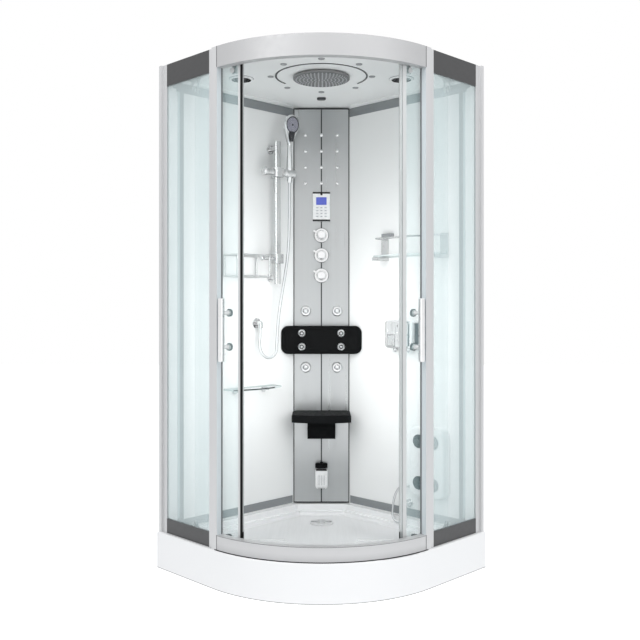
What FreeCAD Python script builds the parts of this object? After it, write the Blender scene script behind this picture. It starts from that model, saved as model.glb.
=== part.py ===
"""Steam shower cabin: a quadrant tray, a framed glass enclosure with two curved sliding
doors, a corner column with jets, a roof and the fittings on its two walls.

Millimetres, +Z up.  The back corner of the footprint points to +Y and the doors to -Y.
The origin is the middle of the footprint's box, at floor level.

Wall coordinates, used for all that hangs on a wall: w runs along the wall from the back
corner, o runs inwards from the outer plane of the wall, and z is up.  Front coordinates,
used for what is curved: r is the distance from the vertical axis of the curve, and phi the
angle from the middle of the doorway, positive towards +X.
"""

import FreeCAD, Part
import math
import os

V = FreeCAD.Vector
PARTS = "parts"
ROOT2 = math.sqrt(2.0)

# ---------------------------------------------------------------- driving dimensions
# Footprint and heights
SIDE = 1000.0                  # length of each wall side of the tray
STRAIGHT = 390.0               # straight flank between a wall and the curve
TRAY_H = 155.0                 # top of the tray's rim
TOTAL_H = 2155.0               # top of the header

# Tray
SKIN = 6.0                     # thickness of the acrylic
BASIN_WALL_INSET = 70.0        # from the outer wall plane to the basin
RIM_W = 64.0                   # rim under the doors
BASIN_DEPTH = 50.0
LEDGE_DROP = 28.0              # from the rim down to the ledge in the basin
LEDGE_W = 18.0
BASIN_CORNER_R = 12.0          # round between the basin's floor and its sides
DRAIN_FROM_CORNER = 380.0      # along the diagonal
DRAIN_HOLE_D = 90.0
DRAIN_SLOTS = 6
GRIP_RIB_H = 2.5
GRIP_RIB_W = 9.0
ZONE_RIBS, ZONE_PITCH, ZONE_LEN, ZONE_TAPER = 3, 26.0, 190.0, 10.0    # foot zones
ZONE_FROM_CORNER, ZONE_APART = 520.0, 165.0
FAN_RIBS, FAN_PITCH, FAN_LEN, FAN_TAPER, FAN_FROM_CORNER = 5, 17.0, 230.0, 22.0, 640.0

# Frame
INSET = 6.0                    # frame behind the edge of the tray
POST_DEPTH = 30.0              # radial depth of a front post
POST_HALF = 17.0               # half its width along the front
HEADER_H = 84.0
THRESHOLD_H = 61.0
INFILL_TOP_H = 92.0
SECTION_T = 3.0                # wall thickness of the extrusions
WALL_POST_W = 24.0
WALL_POST_O = 18.0

# Walls
WALL_FACE = 45.0               # inner face of the wall panels
WALL_T = 8.0
WALL_TOP_DROP = 15.0            # wall panels below the top of the cabin
TRIM_T = 3.0
TRIM_H = 35.0
STRIP_W, STRIP_FROM_END = 30.0, 47.0     # upright strip near the front of a wall

# Glass and doors
GLASS_T = 6.0
SIDE_GLASS_INSET = 18.0
DOOR_GAP = 11.0                # from the inside of the posts to the outside of the doors
SEAL_PHI = 33.2                # leading edge of an open door
DOOR_SPAN = 45.3               # leading edge of the seal to trailing edge of the glass
SEAL_W = 12.0
DOOR_BOTTOM_LIFT = 27.0        # glass above the tray's rim
DOOR_TOP_DROP = 67.0           # glass below the top of the cabin
WHEEL_R = 12.0
WHEEL_W = 8.0
AXLE_R = 3.0
TURN_GAP = 0.05                # radial clearance of a turning fit
SEAT_GAP = 0.3                 # clearance between bodies that meet
GLASS_PAD = 0.3                # soft washer between the curved glass and what clamps it

# Column
COLUMN_FACE = 201.0            # from the back corner to the column's face
COLUMN_TOP_DROP = 62.0
PANEL_T = 3.0
SEAM = 2.0
CONTROL_W, CONTROL_H, CONTROL_D, CONTROL_Z = 84.0, 143.0, 14.0, 1610.0
SCREEN_W, SCREEN_H, SCREEN_Z = 52.0, 38.0, 1637.0
KNOB_Z = {"flow_knob": 1470.0, "temperature_knob": 1372.0, "diverter_knob": 1273.0}
KNOB_D, KNOB_LEN, KNOB_PLATE_D, KNOB_PLATE_T, SPINDLE_R = 48.0, 30.0, 75.0, 9.0, 5.0
KNOB_FLUTES = 8
MINI_JET_D, MINI_JET_PITCH, MINI_JET_ROWS = 18.0, 78.5, 4
MINI_JET_TOP_SHARE, MINI_JET_STEP_SHARE = 0.3183, 0.1913    # of the field over the control box
JET_D, JET_X, JET_Z = 52.0, 77.0, (1099.0, 823.0)
PAD_W, PAD_H, PAD_Z, PAD_PROUD, PAD_CORNER_R = 404.0, 137.0, 959.0, 60.0, 34.0
PAD_LIP, PAD_LIP_W, PAD_ROUND = 7.0, 40.0, 14.0     # raised ends and rolled rim
PAD_JET_D, PAD_JET_X, PAD_JET_Z = 37.0, 95.0, (991.5, 926.7)
SEAT_W, SEAT_DEPTH, SEAT_T, SEAT_TOP_Z = 279.0, 213.0, 35.0, 614.0
SEAT_REAR_GAP = 16.0
SEAT_BOW = 26.0
HINGE_UP, HINGE_IN, HINGE_PIN_R = 11.0, 14.0, 5.0
BRACKET_W, BRACKET_H, BRACKET_D = 135.0, 100.0, 74.0
STEAM_W, STEAM_BOTTOM_Z, STEAM_H, STEAM_D, STEAM_CAP_H = 60.0, 231.0, 103.0, 40.0, 22.0

# Roof
CEILING_DROP = 57.0            # ceiling below the top of the cabin
ROOF_T = 3.0
RAIN_D, RAIN_T, RAIN_FROM_CORNER = 240.0, 15.0, 757.0
SPOT_D, SPOT_COUNT, SPOT_RX, SPOT_RY = 28.0, 8, 215.0, 257.0
LIGHT_RING_R, LIGHT_RING_W, LIGHT_RING_DEG = 193.0, 7.0, 250.0
UNIT_D, UNIT_RING_D, UNIT_X, UNIT_FROM_CORNER, UNIT_H = 86.0, 103.0, 343.0, 720.0, 34.0
FAN_BLADES = 5
SENSOR_W, SENSOR_D, SENSOR_T, SENSOR_FROM_CORNER = 42.0, 28.0, 10.0, 391.0

# Left wall
BAR_W_POS, BAR_O, BAR_W, BAR_T = 394.0, 100.0, 33.0, 14.0
BAR_Z0, BAR_Z1, ROSETTE_INSET, ROSETTE_D = 1227.0, 1902.0, 33.0, 40.0
SLIDER_Z, SLIDER_L, SLIDER_H, SLIDER_D = 1755.0, 52.0, 44.0, 40.0
HOLDER_W_POS, HOLDER_O = 330.0, 114.0
BARREL_D, BARREL_FRONT, BARREL_BACK = 39.0, 30.0, 34.2
HEAD_D, HEAD_T, HEAD_UP, HEAD_OUT, HEAD_TILT = 93.0, 24.0, 230.0, 24.0, 8.0
NECK_Z, NECK_LEN, HANDLE_R = 132.0, 78.0, 17.5
BASKET_Z, BASKET_W0, BASKET_W1, BASKET_DROP = 1347.0, 490.0, 680.0, 96.0
BASKET_BARS = 5
LOW_SHELF_Z, LOW_SHELF_W0, LOW_SHELF_W1, LOW_SHELF_D = 740.0, 377.0, 674.0, 100.0

# Right wall
SHELF_Z, SHELF_W0, SHELF_W1, SHELF_D, RAIL_H = 1350.0, 459.0, 831.0, 110.0, 97.0
SHELF_MARGIN, BRACKET_FOOT_H, SHELF_PLATE_W = 7.0, 14.0, 40.0
SOAP_W0, SOAP_W1, SOAP_Z0, SOAP_Z1, SOAP_D = 520.0, 674.0, 931.0, 1058.0, 62.0
FOOT_W0, FOOT_W1, FOOT_Z0, FOOT_Z1, FOOT_D = 649.0, 843.0, 270.0, 582.0, 46.0
FOOT_CORNER_R, FOOT_EDGE_R = 36.0, 12.0
DISC_D, DISC_PITCH_W, DISC_PITCH_Z, DISC_T, DISC_NUBS = 60.0, 80.0, 186.0, 12.0, 5

# Hoses: points in wall coordinates (w, o, z), chosen along the hose
HANDSET_HOSE_D = 13.0
HANDSET_HOSE = [(330, 114, 1710.6), (330, 114, 1650), (330.5, 114.4, 1570), (333, 115, 1475),
                (339, 115.5, 1385), (355, 116, 1290), (378, 117, 1195), (397, 115, 1100),
                (406, 114, 1015), (408.5, 112, 955), (409, 111, 908), (434.7, 109, 882),
                (471, 105, 882), (496, 98, 908), (495, 86, 948), (480, 75, 982),
                (480, 75, 1020)]
FOOT_HOSE_D = 10.0
FOOT_HOSE = [(641, 78, 306), (612, 78, 306), (582, 80, 289), (563, 84, 256), (555, 88, 216),
             (553, 90, 182), (553, 91, 155), (572.5, 91, 135.5), (600, 89, 135.5),
             (619.5, 86, 155), (620, 80, 180), (620, 80, 206)]

# ---------------------------------------------------------------- derived places
FRONT_R = SIDE - STRAIGHT
DEPTH = STRAIGHT * ROOT2 + FRONT_R
CORNER_Y = DEPTH / 2
AXIS_Y = CORNER_Y - STRAIGHT * ROOT2
COLUMN_Y = CORNER_Y - COLUMN_FACE
FRAME_R = FRONT_R - INSET
POST_IN_R = FRAME_R - POST_DEPTH
DOOR_R = POST_IN_R - DOOR_GAP - GLASS_T / 2          # middle of the curved glass
BASIN_R = FRONT_R - RIM_W
FLOOR_Z = TRAY_H - BASIN_DEPTH
POST_PHI = 45.0 - math.degrees(POST_HALF / FRAME_R)  # inner edge of a front post
GLASS_PHI = SEAL_PHI + math.degrees(SEAL_W / DOOR_R)
TAIL_PHI = SEAL_PHI + DOOR_SPAN
DOOR_TRAVEL = SEAL_PHI - 0.1
HANDLE_PHI = SEAL_PHI + 8.4
LEAD_WHEEL_PHI = SEAL_PHI + 5.4
TRAIL_WHEEL_PHI = TAIL_PHI - 4.0
TRACK_PHI = TAIL_PHI + 2.0
WALL_TOP_Z = TOTAL_H - WALL_TOP_DROP
CEILING_Z = TOTAL_H - CEILING_DROP
COLUMN_TOP_Z = TOTAL_H - COLUMN_TOP_DROP
MINI_JET_FIELD = COLUMN_TOP_Z - CONTROL_Z - CONTROL_H / 2
MINI_JET_Z = COLUMN_TOP_Z - MINI_JET_FIELD * MINI_JET_TOP_SHARE
MINI_JET_STEP = MINI_JET_FIELD * MINI_JET_STEP_SHARE
DOOR_Z0 = TRAY_H + DOOR_BOTTOM_LIFT
DOOR_Z1 = TOTAL_H - DOOR_TOP_DROP
RAIL_Z = DOOR_Z1 + 12.0
WHEEL_Z = RAIL_Z + SEAT_GAP + WHEEL_R
WHEEL_IN_R = DOOR_R - WHEEL_W / 2
HANGER_R = WHEEL_IN_R - 3.0
HANGER_T = 5.0
SEAT_REAR_Y = COLUMN_Y - SEAT_REAR_GAP
SEAT_Z = SEAT_TOP_Z - SEAT_T
HINGE_Y = SEAT_REAR_Y - HINGE_IN
HINGE_Z = SEAT_Z + HINGE_UP
KNOB_Y = COLUMN_Y - KNOB_PLATE_T


# ---------------------------------------------------------------- helpers
def box(x0, x1, y0, y1, z0, z1):
    return Part.makeBox(x1 - x0, y1 - y0, z1 - z0, V(x0, y0, z0))


def rod(radius, start, end):
    """A round bar between two points."""
    a, b = V(*start), V(*end)
    return Part.makeCylinder(radius, (b - a).Length, a, b - a)


def cone(r0, r1, start, end):
    a, b = V(*start), V(*end)
    return Part.makeCone(r0, r1, (b - a).Length, a, b - a)


def fused(shapes):
    shape = shapes[0].multiFuse(shapes[1:]) if len(shapes) > 1 else shapes[0]
    return shape.removeSplitter()


def cut(shape, tools):
    return shape.cut(Part.makeCompound(tools)) if tools else shape


def group(shapes):
    """Separate solids that share one sub-part."""
    return Part.makeCompound([solid for shape in shapes for solid in shape.Solids])


def prism(points, z0, z1):
    corners = [V(x, y, z0) for x, y in points]
    return Part.Face(Part.makePolygon(corners + corners[:1])).extrude(V(0, 0, z1 - z0))


def rounded(width, height, radius):
    """Face of a rounded rectangle about the origin, in XY."""
    x, y, r = width / 2, height / 2, min(radius, width / 2 - 0.01, height / 2 - 0.01)
    k = r * (1 - 1 / ROOT2)
    spans = [((-x + r, -y), (x - r, -y)), ((x, -y + r), (x, y - r)),
             ((x - r, y), (-x + r, y)), ((-x, y - r), (-x, -y + r))]
    mids = [(x - k, -y + k), (x - k, y - k), (-x + k, y - k), (-x + k, -y + k)]
    edges = []
    for i, (a, b) in enumerate(spans):
        after = spans[(i + 1) % 4][0]
        edges.append(Part.LineSegment(V(*a, 0), V(*b, 0)).toShape())
        edges.append(Part.Arc(V(*b, 0), V(*mids[i], 0), V(*after, 0)).toShape())
    return Part.Face(Part.Wire(edges))


def facing_front(face, x, y, z):
    """Turn a face drawn in XY so that it looks along Y, with its Y upwards."""
    face = face.copy()
    face.rotate(V(0, 0, 0), V(1, 0, 0), 90)
    face.translate(V(x, y, z))
    return face


def front_slab(face, x, z, y_back, y_front):
    return facing_front(face, x, y_back, z).extrude(V(0, y_front - y_back, 0))


def turned(profile, centre, axis="z"):
    """Solid of revolution from (radius, height) points, standing at centre."""
    pts = [V(r, 0, h) for r, h in profile]
    solid = Part.Face(Part.makePolygon(pts + pts[:1])).revolve(V(0, 0, 0), V(0, 0, 1), 360)
    if axis == "front":
        solid.rotate(V(0, 0, 0), V(1, 0, 0), 90)
    solid.translate(V(*centre))
    return solid


def mirrored(shape):
    return shape.mirror(V(0, 0, 0), V(1, 0, 0))


def on_wall(shape, side):
    """From wall coordinates, drawn as x = w and y = -o, to the place on a wall."""
    shape = shape.copy()
    shape.rotate(V(0, 0, 0), V(0, 0, 1), -45)
    shape.translate(V(0, CORNER_Y, 0))
    return mirrored(shape) if side == "left" else shape


def wall_box(side, w, o, z):
    """A box on a wall, from three (low, high) pairs."""
    return on_wall(box(w[0], w[1], -o[1], -o[0], z[0], z[1]), side)


def wall_point(side, w, o, z):
    sign = -1 if side == "left" else 1
    return V(sign * (w - o) / ROOT2, CORNER_Y - (w + o) / ROOT2, z)


def front_point(r, phi, z):
    a = math.radians(phi)
    return V(r * math.sin(a), AXIS_Y - r * math.cos(a), z)


def band(profile, phi0, phi1):
    """A curved bar whose section is given in (r, z), between two angles."""
    pts = [V(0, AXIS_Y - r, z) for r, z in profile]
    axis = V(0, AXIS_Y, 0)
    bar = Part.Face(Part.makePolygon(pts + pts[:1]))
    bar = bar.revolve(axis, V(0, 0, 1), phi1 - phi0)
    bar.rotate(axis, V(0, 0, 1), phi0)
    return bar


def sector(r0, r1, z0, z1, phi0, phi1):
    return band([(r0, z0), (r1, z0), (r1, z1), (r0, z1)], phi0, phi1)


def at_phi(shape, phi):
    """Turn what is drawn at the middle of the doorway to an angle along the curve."""
    shape = shape.copy()
    shape.rotate(V(0, AXIS_Y, 0), V(0, 0, 1), phi)
    return shape


def outline(inset):
    """Face of the footprint drawn in by inset, in wall coordinates."""
    a, b, c = inset, SIDE - inset, STRAIGHT
    mid = c + (FRONT_R - inset) / ROOT2
    edges = [Part.LineSegment(V(a, -a, 0), V(b, -a, 0)).toShape(),
             Part.LineSegment(V(b, -a, 0), V(b, -c, 0)).toShape(),
             Part.Arc(V(b, -c, 0), V(mid, -mid, 0), V(c, -b, 0)).toShape(),
             Part.LineSegment(V(c, -b, 0), V(a, -b, 0)).toShape(),
             Part.LineSegment(V(a, -b, 0), V(a, -a, 0)).toShape()]
    return Part.Face(Part.Wire(edges))


def basin(inset, radius, chamfer=0.0):
    """Face of the round inner floor: a circle about the doors' axis, cut by both walls
    and, with a chamfer, by a line across the back corner."""
    c = STRAIGHT
    reach = c + math.sqrt(radius ** 2 - (c - inset) ** 2)
    mid = c + radius / ROOT2
    back = max(inset + 0.01, chamfer * ROOT2 - inset)
    edges = [Part.LineSegment(V(back, -inset, 0), V(reach, -inset, 0)).toShape(),
             Part.Arc(V(reach, -inset, 0), V(mid, -mid, 0), V(inset, -reach, 0)).toShape(),
             Part.LineSegment(V(inset, -reach, 0), V(inset, -back, 0)).toShape(),
             Part.LineSegment(V(inset, -back, 0), V(back, -inset, 0)).toShape()]
    return Part.Face(Part.Wire(edges))


def raised(face, z0, z1):
    face = face.copy()
    face.translate(V(0, 0, z0))
    return face.extrude(V(0, 0, z1 - z0))


def level_edges(shape, z):
    """Edges that lie at one height."""
    return [e for e in shape.Edges if all(abs(v.Z - z) < 1e-6 for v in e.Vertexes)]


def face_edges(shape, y):
    """Edges that lie at one depth."""
    return [e for e in shape.Edges if all(abs(v.Y - y) < 1e-6 for v in e.Vertexes)]


def bore_front(x, z, radius):
    """Tool for a hole through the column's panels."""
    return rod(radius, (x, COLUMN_Y + 20, z), (x, COLUMN_Y - 20, z))


def tube_path(points):
    """Straight runs joined by tangent arcs, as large as the runs allow."""
    edges, radii, start = [], [], points[0]
    for before, here, after in zip(points, points[1:], points[2:]):
        a, b = (before - here), (after - here)
        turn = math.pi - a.getAngle(b)
        reach = 0.45 * min(a.Length, b.Length)
        a.normalize()
        b.normalize()
        radii.append(reach / math.tan(turn / 2))
        middle = (a + b).normalize()
        apex = radii[-1] / math.cos(turn / 2) - radii[-1]
        p, q = here + a * reach, here + b * reach
        edges.append(Part.LineSegment(start, p).toShape())
        edges.append(Part.Arc(p, here + middle * apex, q).toShape())
        start = q
    edges.append(Part.LineSegment(start, points[-1]).toShape())
    return Part.Wire(edges), radii


def hose(name, side, route, diameter):
    """A free hose, with its radii and its volume against section times length."""
    points = [wall_point(side, *p) for p in route]
    path, radii = tube_path(points)
    direction = points[1] - points[0]
    ring = Part.Wire([Part.Circle(points[0], direction, diameter / 2).toShape()])
    tube = path.makePipeShell([ring], True, False)
    wanted = math.pi * diameter ** 2 / 4 * path.Length
    print(name, "length", round(path.Length), "volume ratio", round(tube.Volume / wanted, 4))
    print(name, "radii", [round(r) for r in radii])
    return tube


# ---------------------------------------------------------------- tray and what is under it
WASTE_NOTCH_HALF, WASTE_NOTCH_H = 60.0, 80.0


def shower_tray():
    column_line = COLUMN_FACE + 16.0
    under = raised(outline(SKIN), 0, TRAY_H - SKIN)
    tub = raised(basin(BASIN_WALL_INSET - SKIN, BASIN_R + SKIN, column_line - SKIN),
                 FLOOR_Z - SKIN, TRAY_H)
    ledge_z = TRAY_H - LEDGE_DROP
    upper = raised(basin(BASIN_WALL_INSET, BASIN_R, column_line), ledge_z, TRAY_H + 1)
    lower_inset = BASIN_WALL_INSET + LEDGE_W
    lower = raised(basin(lower_inset, BASIN_R - LEDGE_W, column_line + LEDGE_W),
                   FLOOR_Z, ledge_z + 1)
    lower = lower.makeFillet(BASIN_CORNER_R, level_edges(lower, FLOOR_Z))
    shell = raised(outline(0), 0, TRAY_H)
    shell = shell.makeFillet(SKIN, level_edges(shell, TRAY_H))
    shell = shell.cut(under.cut(tub)).cut(upper).cut(lower)
    drain = DRAIN_FROM_CORNER / ROOT2
    shell = shell.cut(rod(DRAIN_HOLE_D / 2, (drain, -drain, 0), (drain, -drain, TRAY_H)))
    notch = box(-1, SKIN + 1, -2 * drain - WASTE_NOTCH_HALF, -2 * drain + WASTE_NOTCH_HALF,
                -1, WASTE_NOTCH_H)
    return on_wall(fused([shell.cut(notch)] + grip_ribs()), "right")


def grip_ribs():
    """Raised anti-slip ribs: two foot zones and a fan of ribs at the front."""
    ribs = []
    for side in (-1, 1):
        for i in range(2 * ZONE_RIBS + 1):
            row = i - ZONE_RIBS
            step = row * ZONE_PITCH / ROOT2
            length = ZONE_LEN - ZONE_TAPER * abs(row)
            ribs.append((ZONE_FROM_CORNER + side * ZONE_APART + step,
                         ZONE_FROM_CORNER - side * ZONE_APART + step, length))
    for i in range(FAN_RIBS):
        place = FAN_FROM_CORNER + i * FAN_PITCH
        ribs.append((place, place, FAN_LEN - FAN_TAPER * i))
    solids = []
    for x, y, length in ribs:
        rib = rounded(length, GRIP_RIB_W, GRIP_RIB_W / 2)
        rib.rotate(V(0, 0, 0), V(0, 0, 1), 45)
        rib.translate(V(x, -y, 0))
        solids.append(raised(rib, FLOOR_Z - 1, FLOOR_Z + GRIP_RIB_H))
    return solids


BEAM = 30.0
BEAM_NEAR, BEAM_FAR = 100.0, 560.0
BEAM_TOP = FLOOR_Z - SKIN
FEET = [(100, 100), (560, 560), (900, 100), (100, 900), (885, 560), (560, 885)]


def tray_frame():
    """Welded square tubes under the tray, on the levelling feet."""
    half = BEAM / 2
    end_near, end_far = SIDE - 25.0, SIDE - 70.0
    beams = []
    for place, end in ((BEAM_NEAR, end_near), (BEAM_FAR, end_far)):
        beams.append(box(20, end, -place - half, -place + half, BEAM_TOP - BEAM, BEAM_TOP))
        beams.append(box(place - half, place + half, -end, -20, BEAM_TOP - BEAM, BEAM_TOP))
    return on_wall(fused(beams), "right")


def levelling_feet():
    """Threaded studs with a lock nut and a plastic foot."""
    beam_z = BEAM_TOP - BEAM
    foot = [(0, 0), (25, 0), (25, 5), (12, 11), (6, 11), (6, beam_z), (0, beam_z)]
    feet = []
    for x, y in FEET:
        body = turned(foot, (x, -y, 0))
        nut = Part.Face(Part.makePolygon(
            [V(x + 11 * math.cos(a), -y + 11 * math.sin(a), beam_z - 8)
             for a in [math.radians(60 * i) for i in range(7)]])).extrude(V(0, 0, 8))
        feet.append(on_wall(fused([body, nut]), "right"))
    return group(feet)


WASTE_BODY_R, WASTE_THROAT_R, WASTE_PIPE_R = 52.0, 43.0, 20.0
WASTE_Y = CORNER_Y - DRAIN_FROM_CORNER
WASTE_PIPE_Z = 40.0
WASTE_COLLAR_R, WASTE_COLLAR_X = WASTE_PIPE_R + 5.0, -WASTE_BODY_R - 4.0
WASTE_PIPE_LEN = 56.0
WASTE_PIPE_END = WASTE_COLLAR_X - WASTE_PIPE_LEN


def waste_trap():
    """Low trap under the drain hole, with its outlet to the left."""
    top = FLOOR_Z - SKIN
    cup = turned([(0, 20), (WASTE_BODY_R, 20), (WASTE_BODY_R, top), (WASTE_THROAT_R - 4, top),
                  (WASTE_THROAT_R - 4, 26), (0, 26)], (0, WASTE_Y, 0))
    collar = turned([(WASTE_THROAT_R - 4, top - 6), (WASTE_THROAT_R, top - 6),
                     (WASTE_THROAT_R, FLOOR_Z), (WASTE_THROAT_R - 4, FLOOR_Z)],
                    (0, WASTE_Y, 0))
    pipe = rod(WASTE_PIPE_R, (-WASTE_THROAT_R, WASTE_Y, WASTE_PIPE_Z),
               (WASTE_PIPE_END, WASTE_Y, WASTE_PIPE_Z))
    flange = rod(WASTE_COLLAR_R, (-WASTE_THROAT_R, WASTE_Y, WASTE_PIPE_Z),
                 (WASTE_COLLAR_X, WASTE_Y, WASTE_PIPE_Z))
    bore = rod(WASTE_PIPE_R - 3, (-WASTE_THROAT_R + 6, WASTE_Y, WASTE_PIPE_Z),
               (WASTE_PIPE_END - 1, WASTE_Y, WASTE_PIPE_Z))
    return fused([cup, collar, pipe, flange]).cut(bore)


def drain_cover():
    """Domed cover over the drain, with a ring of slots and a skirt in the throat."""
    z = FLOOR_Z + SEAT_GAP
    radius = DRAIN_HOLE_D / 2 + 9
    skirt = WASTE_THROAT_R - 4 - 2
    cover = turned([(0, z), (radius, z), (radius, z + 2.5), (radius - 6, z + 6.5),
                    (0, z + 8.5)], (0, WASTE_Y, 0))
    plug = turned([(skirt - 4, z - 16), (skirt, z - 16), (skirt, z + 1), (skirt - 4, z + 1)],
                  (0, WASTE_Y, 0))
    slots = []
    for i in range(DRAIN_SLOTS):
        slot = box(skirt - 18, skirt - 6, WASTE_Y - 3, WASTE_Y + 3, z - 1, z + 12)
        slot.rotate(V(0, WASTE_Y, 0), V(0, 0, 1), 360 * i / DRAIN_SLOTS)
        slots.append(slot)
    return cut(fused([cover, plug]), slots)


# ---------------------------------------------------------------- walls and frame
PANEL_END = SIDE - 28.0
POST_ARM_W = 22.0
RIB_W = 24.0


RIB_START, RIB_PITCH = 100.0, 190.0
SUPPLY_HALF_H = 45.0
SUPPLY_MARGIN = 44.0


def wall_panel(side):
    """Wall sheet with the stiffening ribs on its back, and its half of the opening in the
    corner behind the column, where the supply hoses come in."""
    start = WALL_FACE - WALL_T if side == "right" else WALL_FACE
    reach = INLET_X * ROOT2 + WALL_FACE + SUPPLY_MARGIN
    supply = wall_box(side, (-1, reach), (-1, WALL_FACE + 1),
                      (MANIFOLD_Z - SUPPLY_HALF_H, MANIFOLD_Z + SUPPLY_HALF_H))
    parts = [wall_box(side, (start, PANEL_END), (WALL_FACE - WALL_T, WALL_FACE),
                      (TRAY_H, WALL_TOP_Z))]
    for i in range(5):
        w = RIB_START + i * RIB_PITCH
        parts.append(wall_box(side, (w, w + RIB_W), (12, WALL_FACE - WALL_T + 1),
                              (TRAY_H + 30, WALL_TOP_Z - 60)))
    return fused(parts).cut(supply)


def frame_posts():
    """Wall posts and front posts, which hold the side glass between them."""
    solids = []
    end = SIDE - INSET
    for side in ("left", "right"):
        wall = [wall_box(side, (end - WALL_POST_W, end), (INSET, INSET + WALL_POST_O),
                         (TRAY_H, TOTAL_H)),
                wall_box(side, (PANEL_END - POST_ARM_W, end - WALL_POST_W + 1),
                         (INSET, WALL_FACE - WALL_T), (TRAY_H, WALL_TOP_Z - 10))]
        solids.append(fused(wall))
        flank = box(end - POST_DEPTH, end, -STRAIGHT - 0.5, -STRAIGHT + POST_HALF,
                    TRAY_H, TOTAL_H)
        curve = sector(POST_IN_R, FRAME_R, TRAY_H, TOTAL_H, POST_PHI, 45.0)
        solids.append(fused([on_wall(flank, "right"), curve]))
        if side == "left":
            solids[-1] = mirrored(solids[-1])
    return group(solids)


def curved_section(z0, z1):
    """Channel of a curved extrusion, open inwards, as (r, z) points."""
    t, r0, r1 = SECTION_T, POST_IN_R, FRAME_R
    return [(r0, z0), (r1, z0), (r1, z1), (r0, z1), (r0, z1 - t), (r1 - t, z1 - t),
            (r1 - t, z0 + t), (r0, z0 + t)]


def front_header():
    z1 = TOTAL_H
    return band(curved_section(z1 - HEADER_H, z1), -POST_PHI, POST_PHI)


def front_threshold():
    z0 = TRAY_H
    return band(curved_section(z0, z0 + THRESHOLD_H), -POST_PHI, POST_PHI)


def door_tracks():
    """Curved rail that carries the doors, and the channel that guides their lower edge."""
    t, r1 = SECTION_T, POST_IN_R
    ledge_r = WHEEL_IN_R - 2.0
    rail = [(r1, HEADER_Z), (r1, WALL_TOP_Z), (r1 - t, WALL_TOP_Z), (r1 - t, RAIL_Z),
            (ledge_r + 2, RAIL_Z), (ledge_r + 2, RAIL_Z + 3), (ledge_r, RAIL_Z + 3),
            (ledge_r, RAIL_Z - 4), (r1 - t, RAIL_Z - 4), (r1 - t, HEADER_Z)]
    z = TRAY_H
    inner = DOOR_R - 13.0
    channel = [(inner, z), (r1, z), (r1, z + 21), (r1 - t, z + 21), (r1 - t, z + t),
               (inner + t, z + t), (inner + t, z + 21), (inner, z + 21)]
    return group([band(rail, -TRACK_PHI, TRACK_PHI), band(channel, -TRACK_PHI, TRACK_PHI)])


HEADER_Z = TOTAL_H - HEADER_H


def flank_sheet(x0, x1, z0, z1):
    """A flat piece between the wall post and the front post, on both sides."""
    y0 = -STRAIGHT + POST_HALF
    y1 = -INSET - WALL_POST_O
    sheet = on_wall(box(x0, x1, y0, y1, z0, z1), "right")
    return [sheet, mirrored(sheet)]


def side_glass():
    x = SIDE - SIDE_GLASS_INSET
    return group(flank_sheet(x - GLASS_T, x, TRAY_H + THRESHOLD_H, TOTAL_H - INFILL_TOP_H))


def side_infill_panels():
    x = SIDE - SIDE_GLASS_INSET
    lower = flank_sheet(x - GLASS_T - 3, x + 3, TRAY_H, TRAY_H + THRESHOLD_H)
    upper = flank_sheet(x - GLASS_T - 3, x + 3, TOTAL_H - INFILL_TOP_H, TOTAL_H)
    return group(lower + upper)


TRIM_START = COLUMN_FACE * ROOT2 - WALL_FACE + 8.0


def wall_trims():
    """Bands along the foot and the head of each wall, and a strip near its front."""
    end = PANEL_END - WALL_POST_W
    z0, z1 = TRAY_H + SKIN, CEILING_Z - SEAT_GAP
    strip_end = PANEL_END - STRIP_FROM_END
    shelf = wall_box("right", (SHELF_W0 - SHELF_MARGIN, SHELF_W1 + SHELF_MARGIN),
                     (0, WALL_FACE + SHELF_D), (SHELF_Z - BRACKET_FOOT_H - SEAT_GAP,
                                                SHELF_Z + RAIL_H + SEAT_GAP))
    solids = []
    for side in ("left", "right"):
        o = (WALL_FACE, WALL_FACE + TRIM_T)
        foot = wall_box(side, (TRIM_START, end), o, (z0, z0 + TRIM_H))
        head = wall_box(side, (TRIM_START, end), o, (z1 - TRIM_H, z1))
        strip = wall_box(side, (strip_end - STRIP_W, strip_end), o,
                         (z0 + TRIM_H + SEAT_GAP, z1 - TRIM_H - SEAT_GAP))
        solids += [foot, head, strip.cut(shelf)]
    return group(solids)


# ---------------------------------------------------------------- column
def column_panels():
    """Two tall sheets with folded edges, meeting in a seam, bored for the fittings."""
    half = COLUMN_FACE - WALL_FACE * ROOT2
    z0, z1 = TRAY_H + 4, COLUMN_TOP_Z
    holes = [bore_front(x, z, JET_D / 2 - 8) for z in JET_Z for x in (-JET_X, JET_X)]
    holes += [bore_front(x, z, MINI_JET_D / 2 - 4) for x, z in mini_jet_places()]
    holes += [bore_front(0, z, KNOB_PLATE_D / 2 - 22) for z in KNOB_Z.values()]
    holes += [bore_front(0, STEAM_BOTTOM_Z + STEAM_H / 2, 18)]
    solids = []
    for side in (-1, 1):
        seam, edge = side * SEAM / 2, side * (half - 0.2)
        sheet = prism([(seam, COLUMN_Y), (edge, COLUMN_Y), (edge - side * PANEL_T, COLUMN_Y + PANEL_T),
                       (seam, COLUMN_Y + PANEL_T)], z0, z1)
        folds = []
        for x in (seam, side * (half - 17.0)):
            x0, x1 = sorted((x, x + side * PANEL_T))
            folds.append(box(x0, x1, COLUMN_Y + 1, COLUMN_Y + 8, z0, z1))
        solids.append(cut(fused([sheet] + folds), holes))
    return group(solids)


def mini_jet_places():
    return [(column * MINI_JET_PITCH, MINI_JET_Z - row * MINI_JET_STEP)
            for row in range(MINI_JET_ROWS) for column in (-1, 0, 1)]


def mini_jets():
    """Small spray nozzles: a domed cap with a lip, and a stem behind the panel."""
    r = MINI_JET_D / 2
    section = [(0, -12), (r - 4.2, -12), (r - 4.2, 0), (r, 0), (r, 2.5), (r - 2.5, 5), (0, 6)]
    return group([turned(section, (x, COLUMN_Y, z), "front") for x, z in mini_jet_places()])


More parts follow.
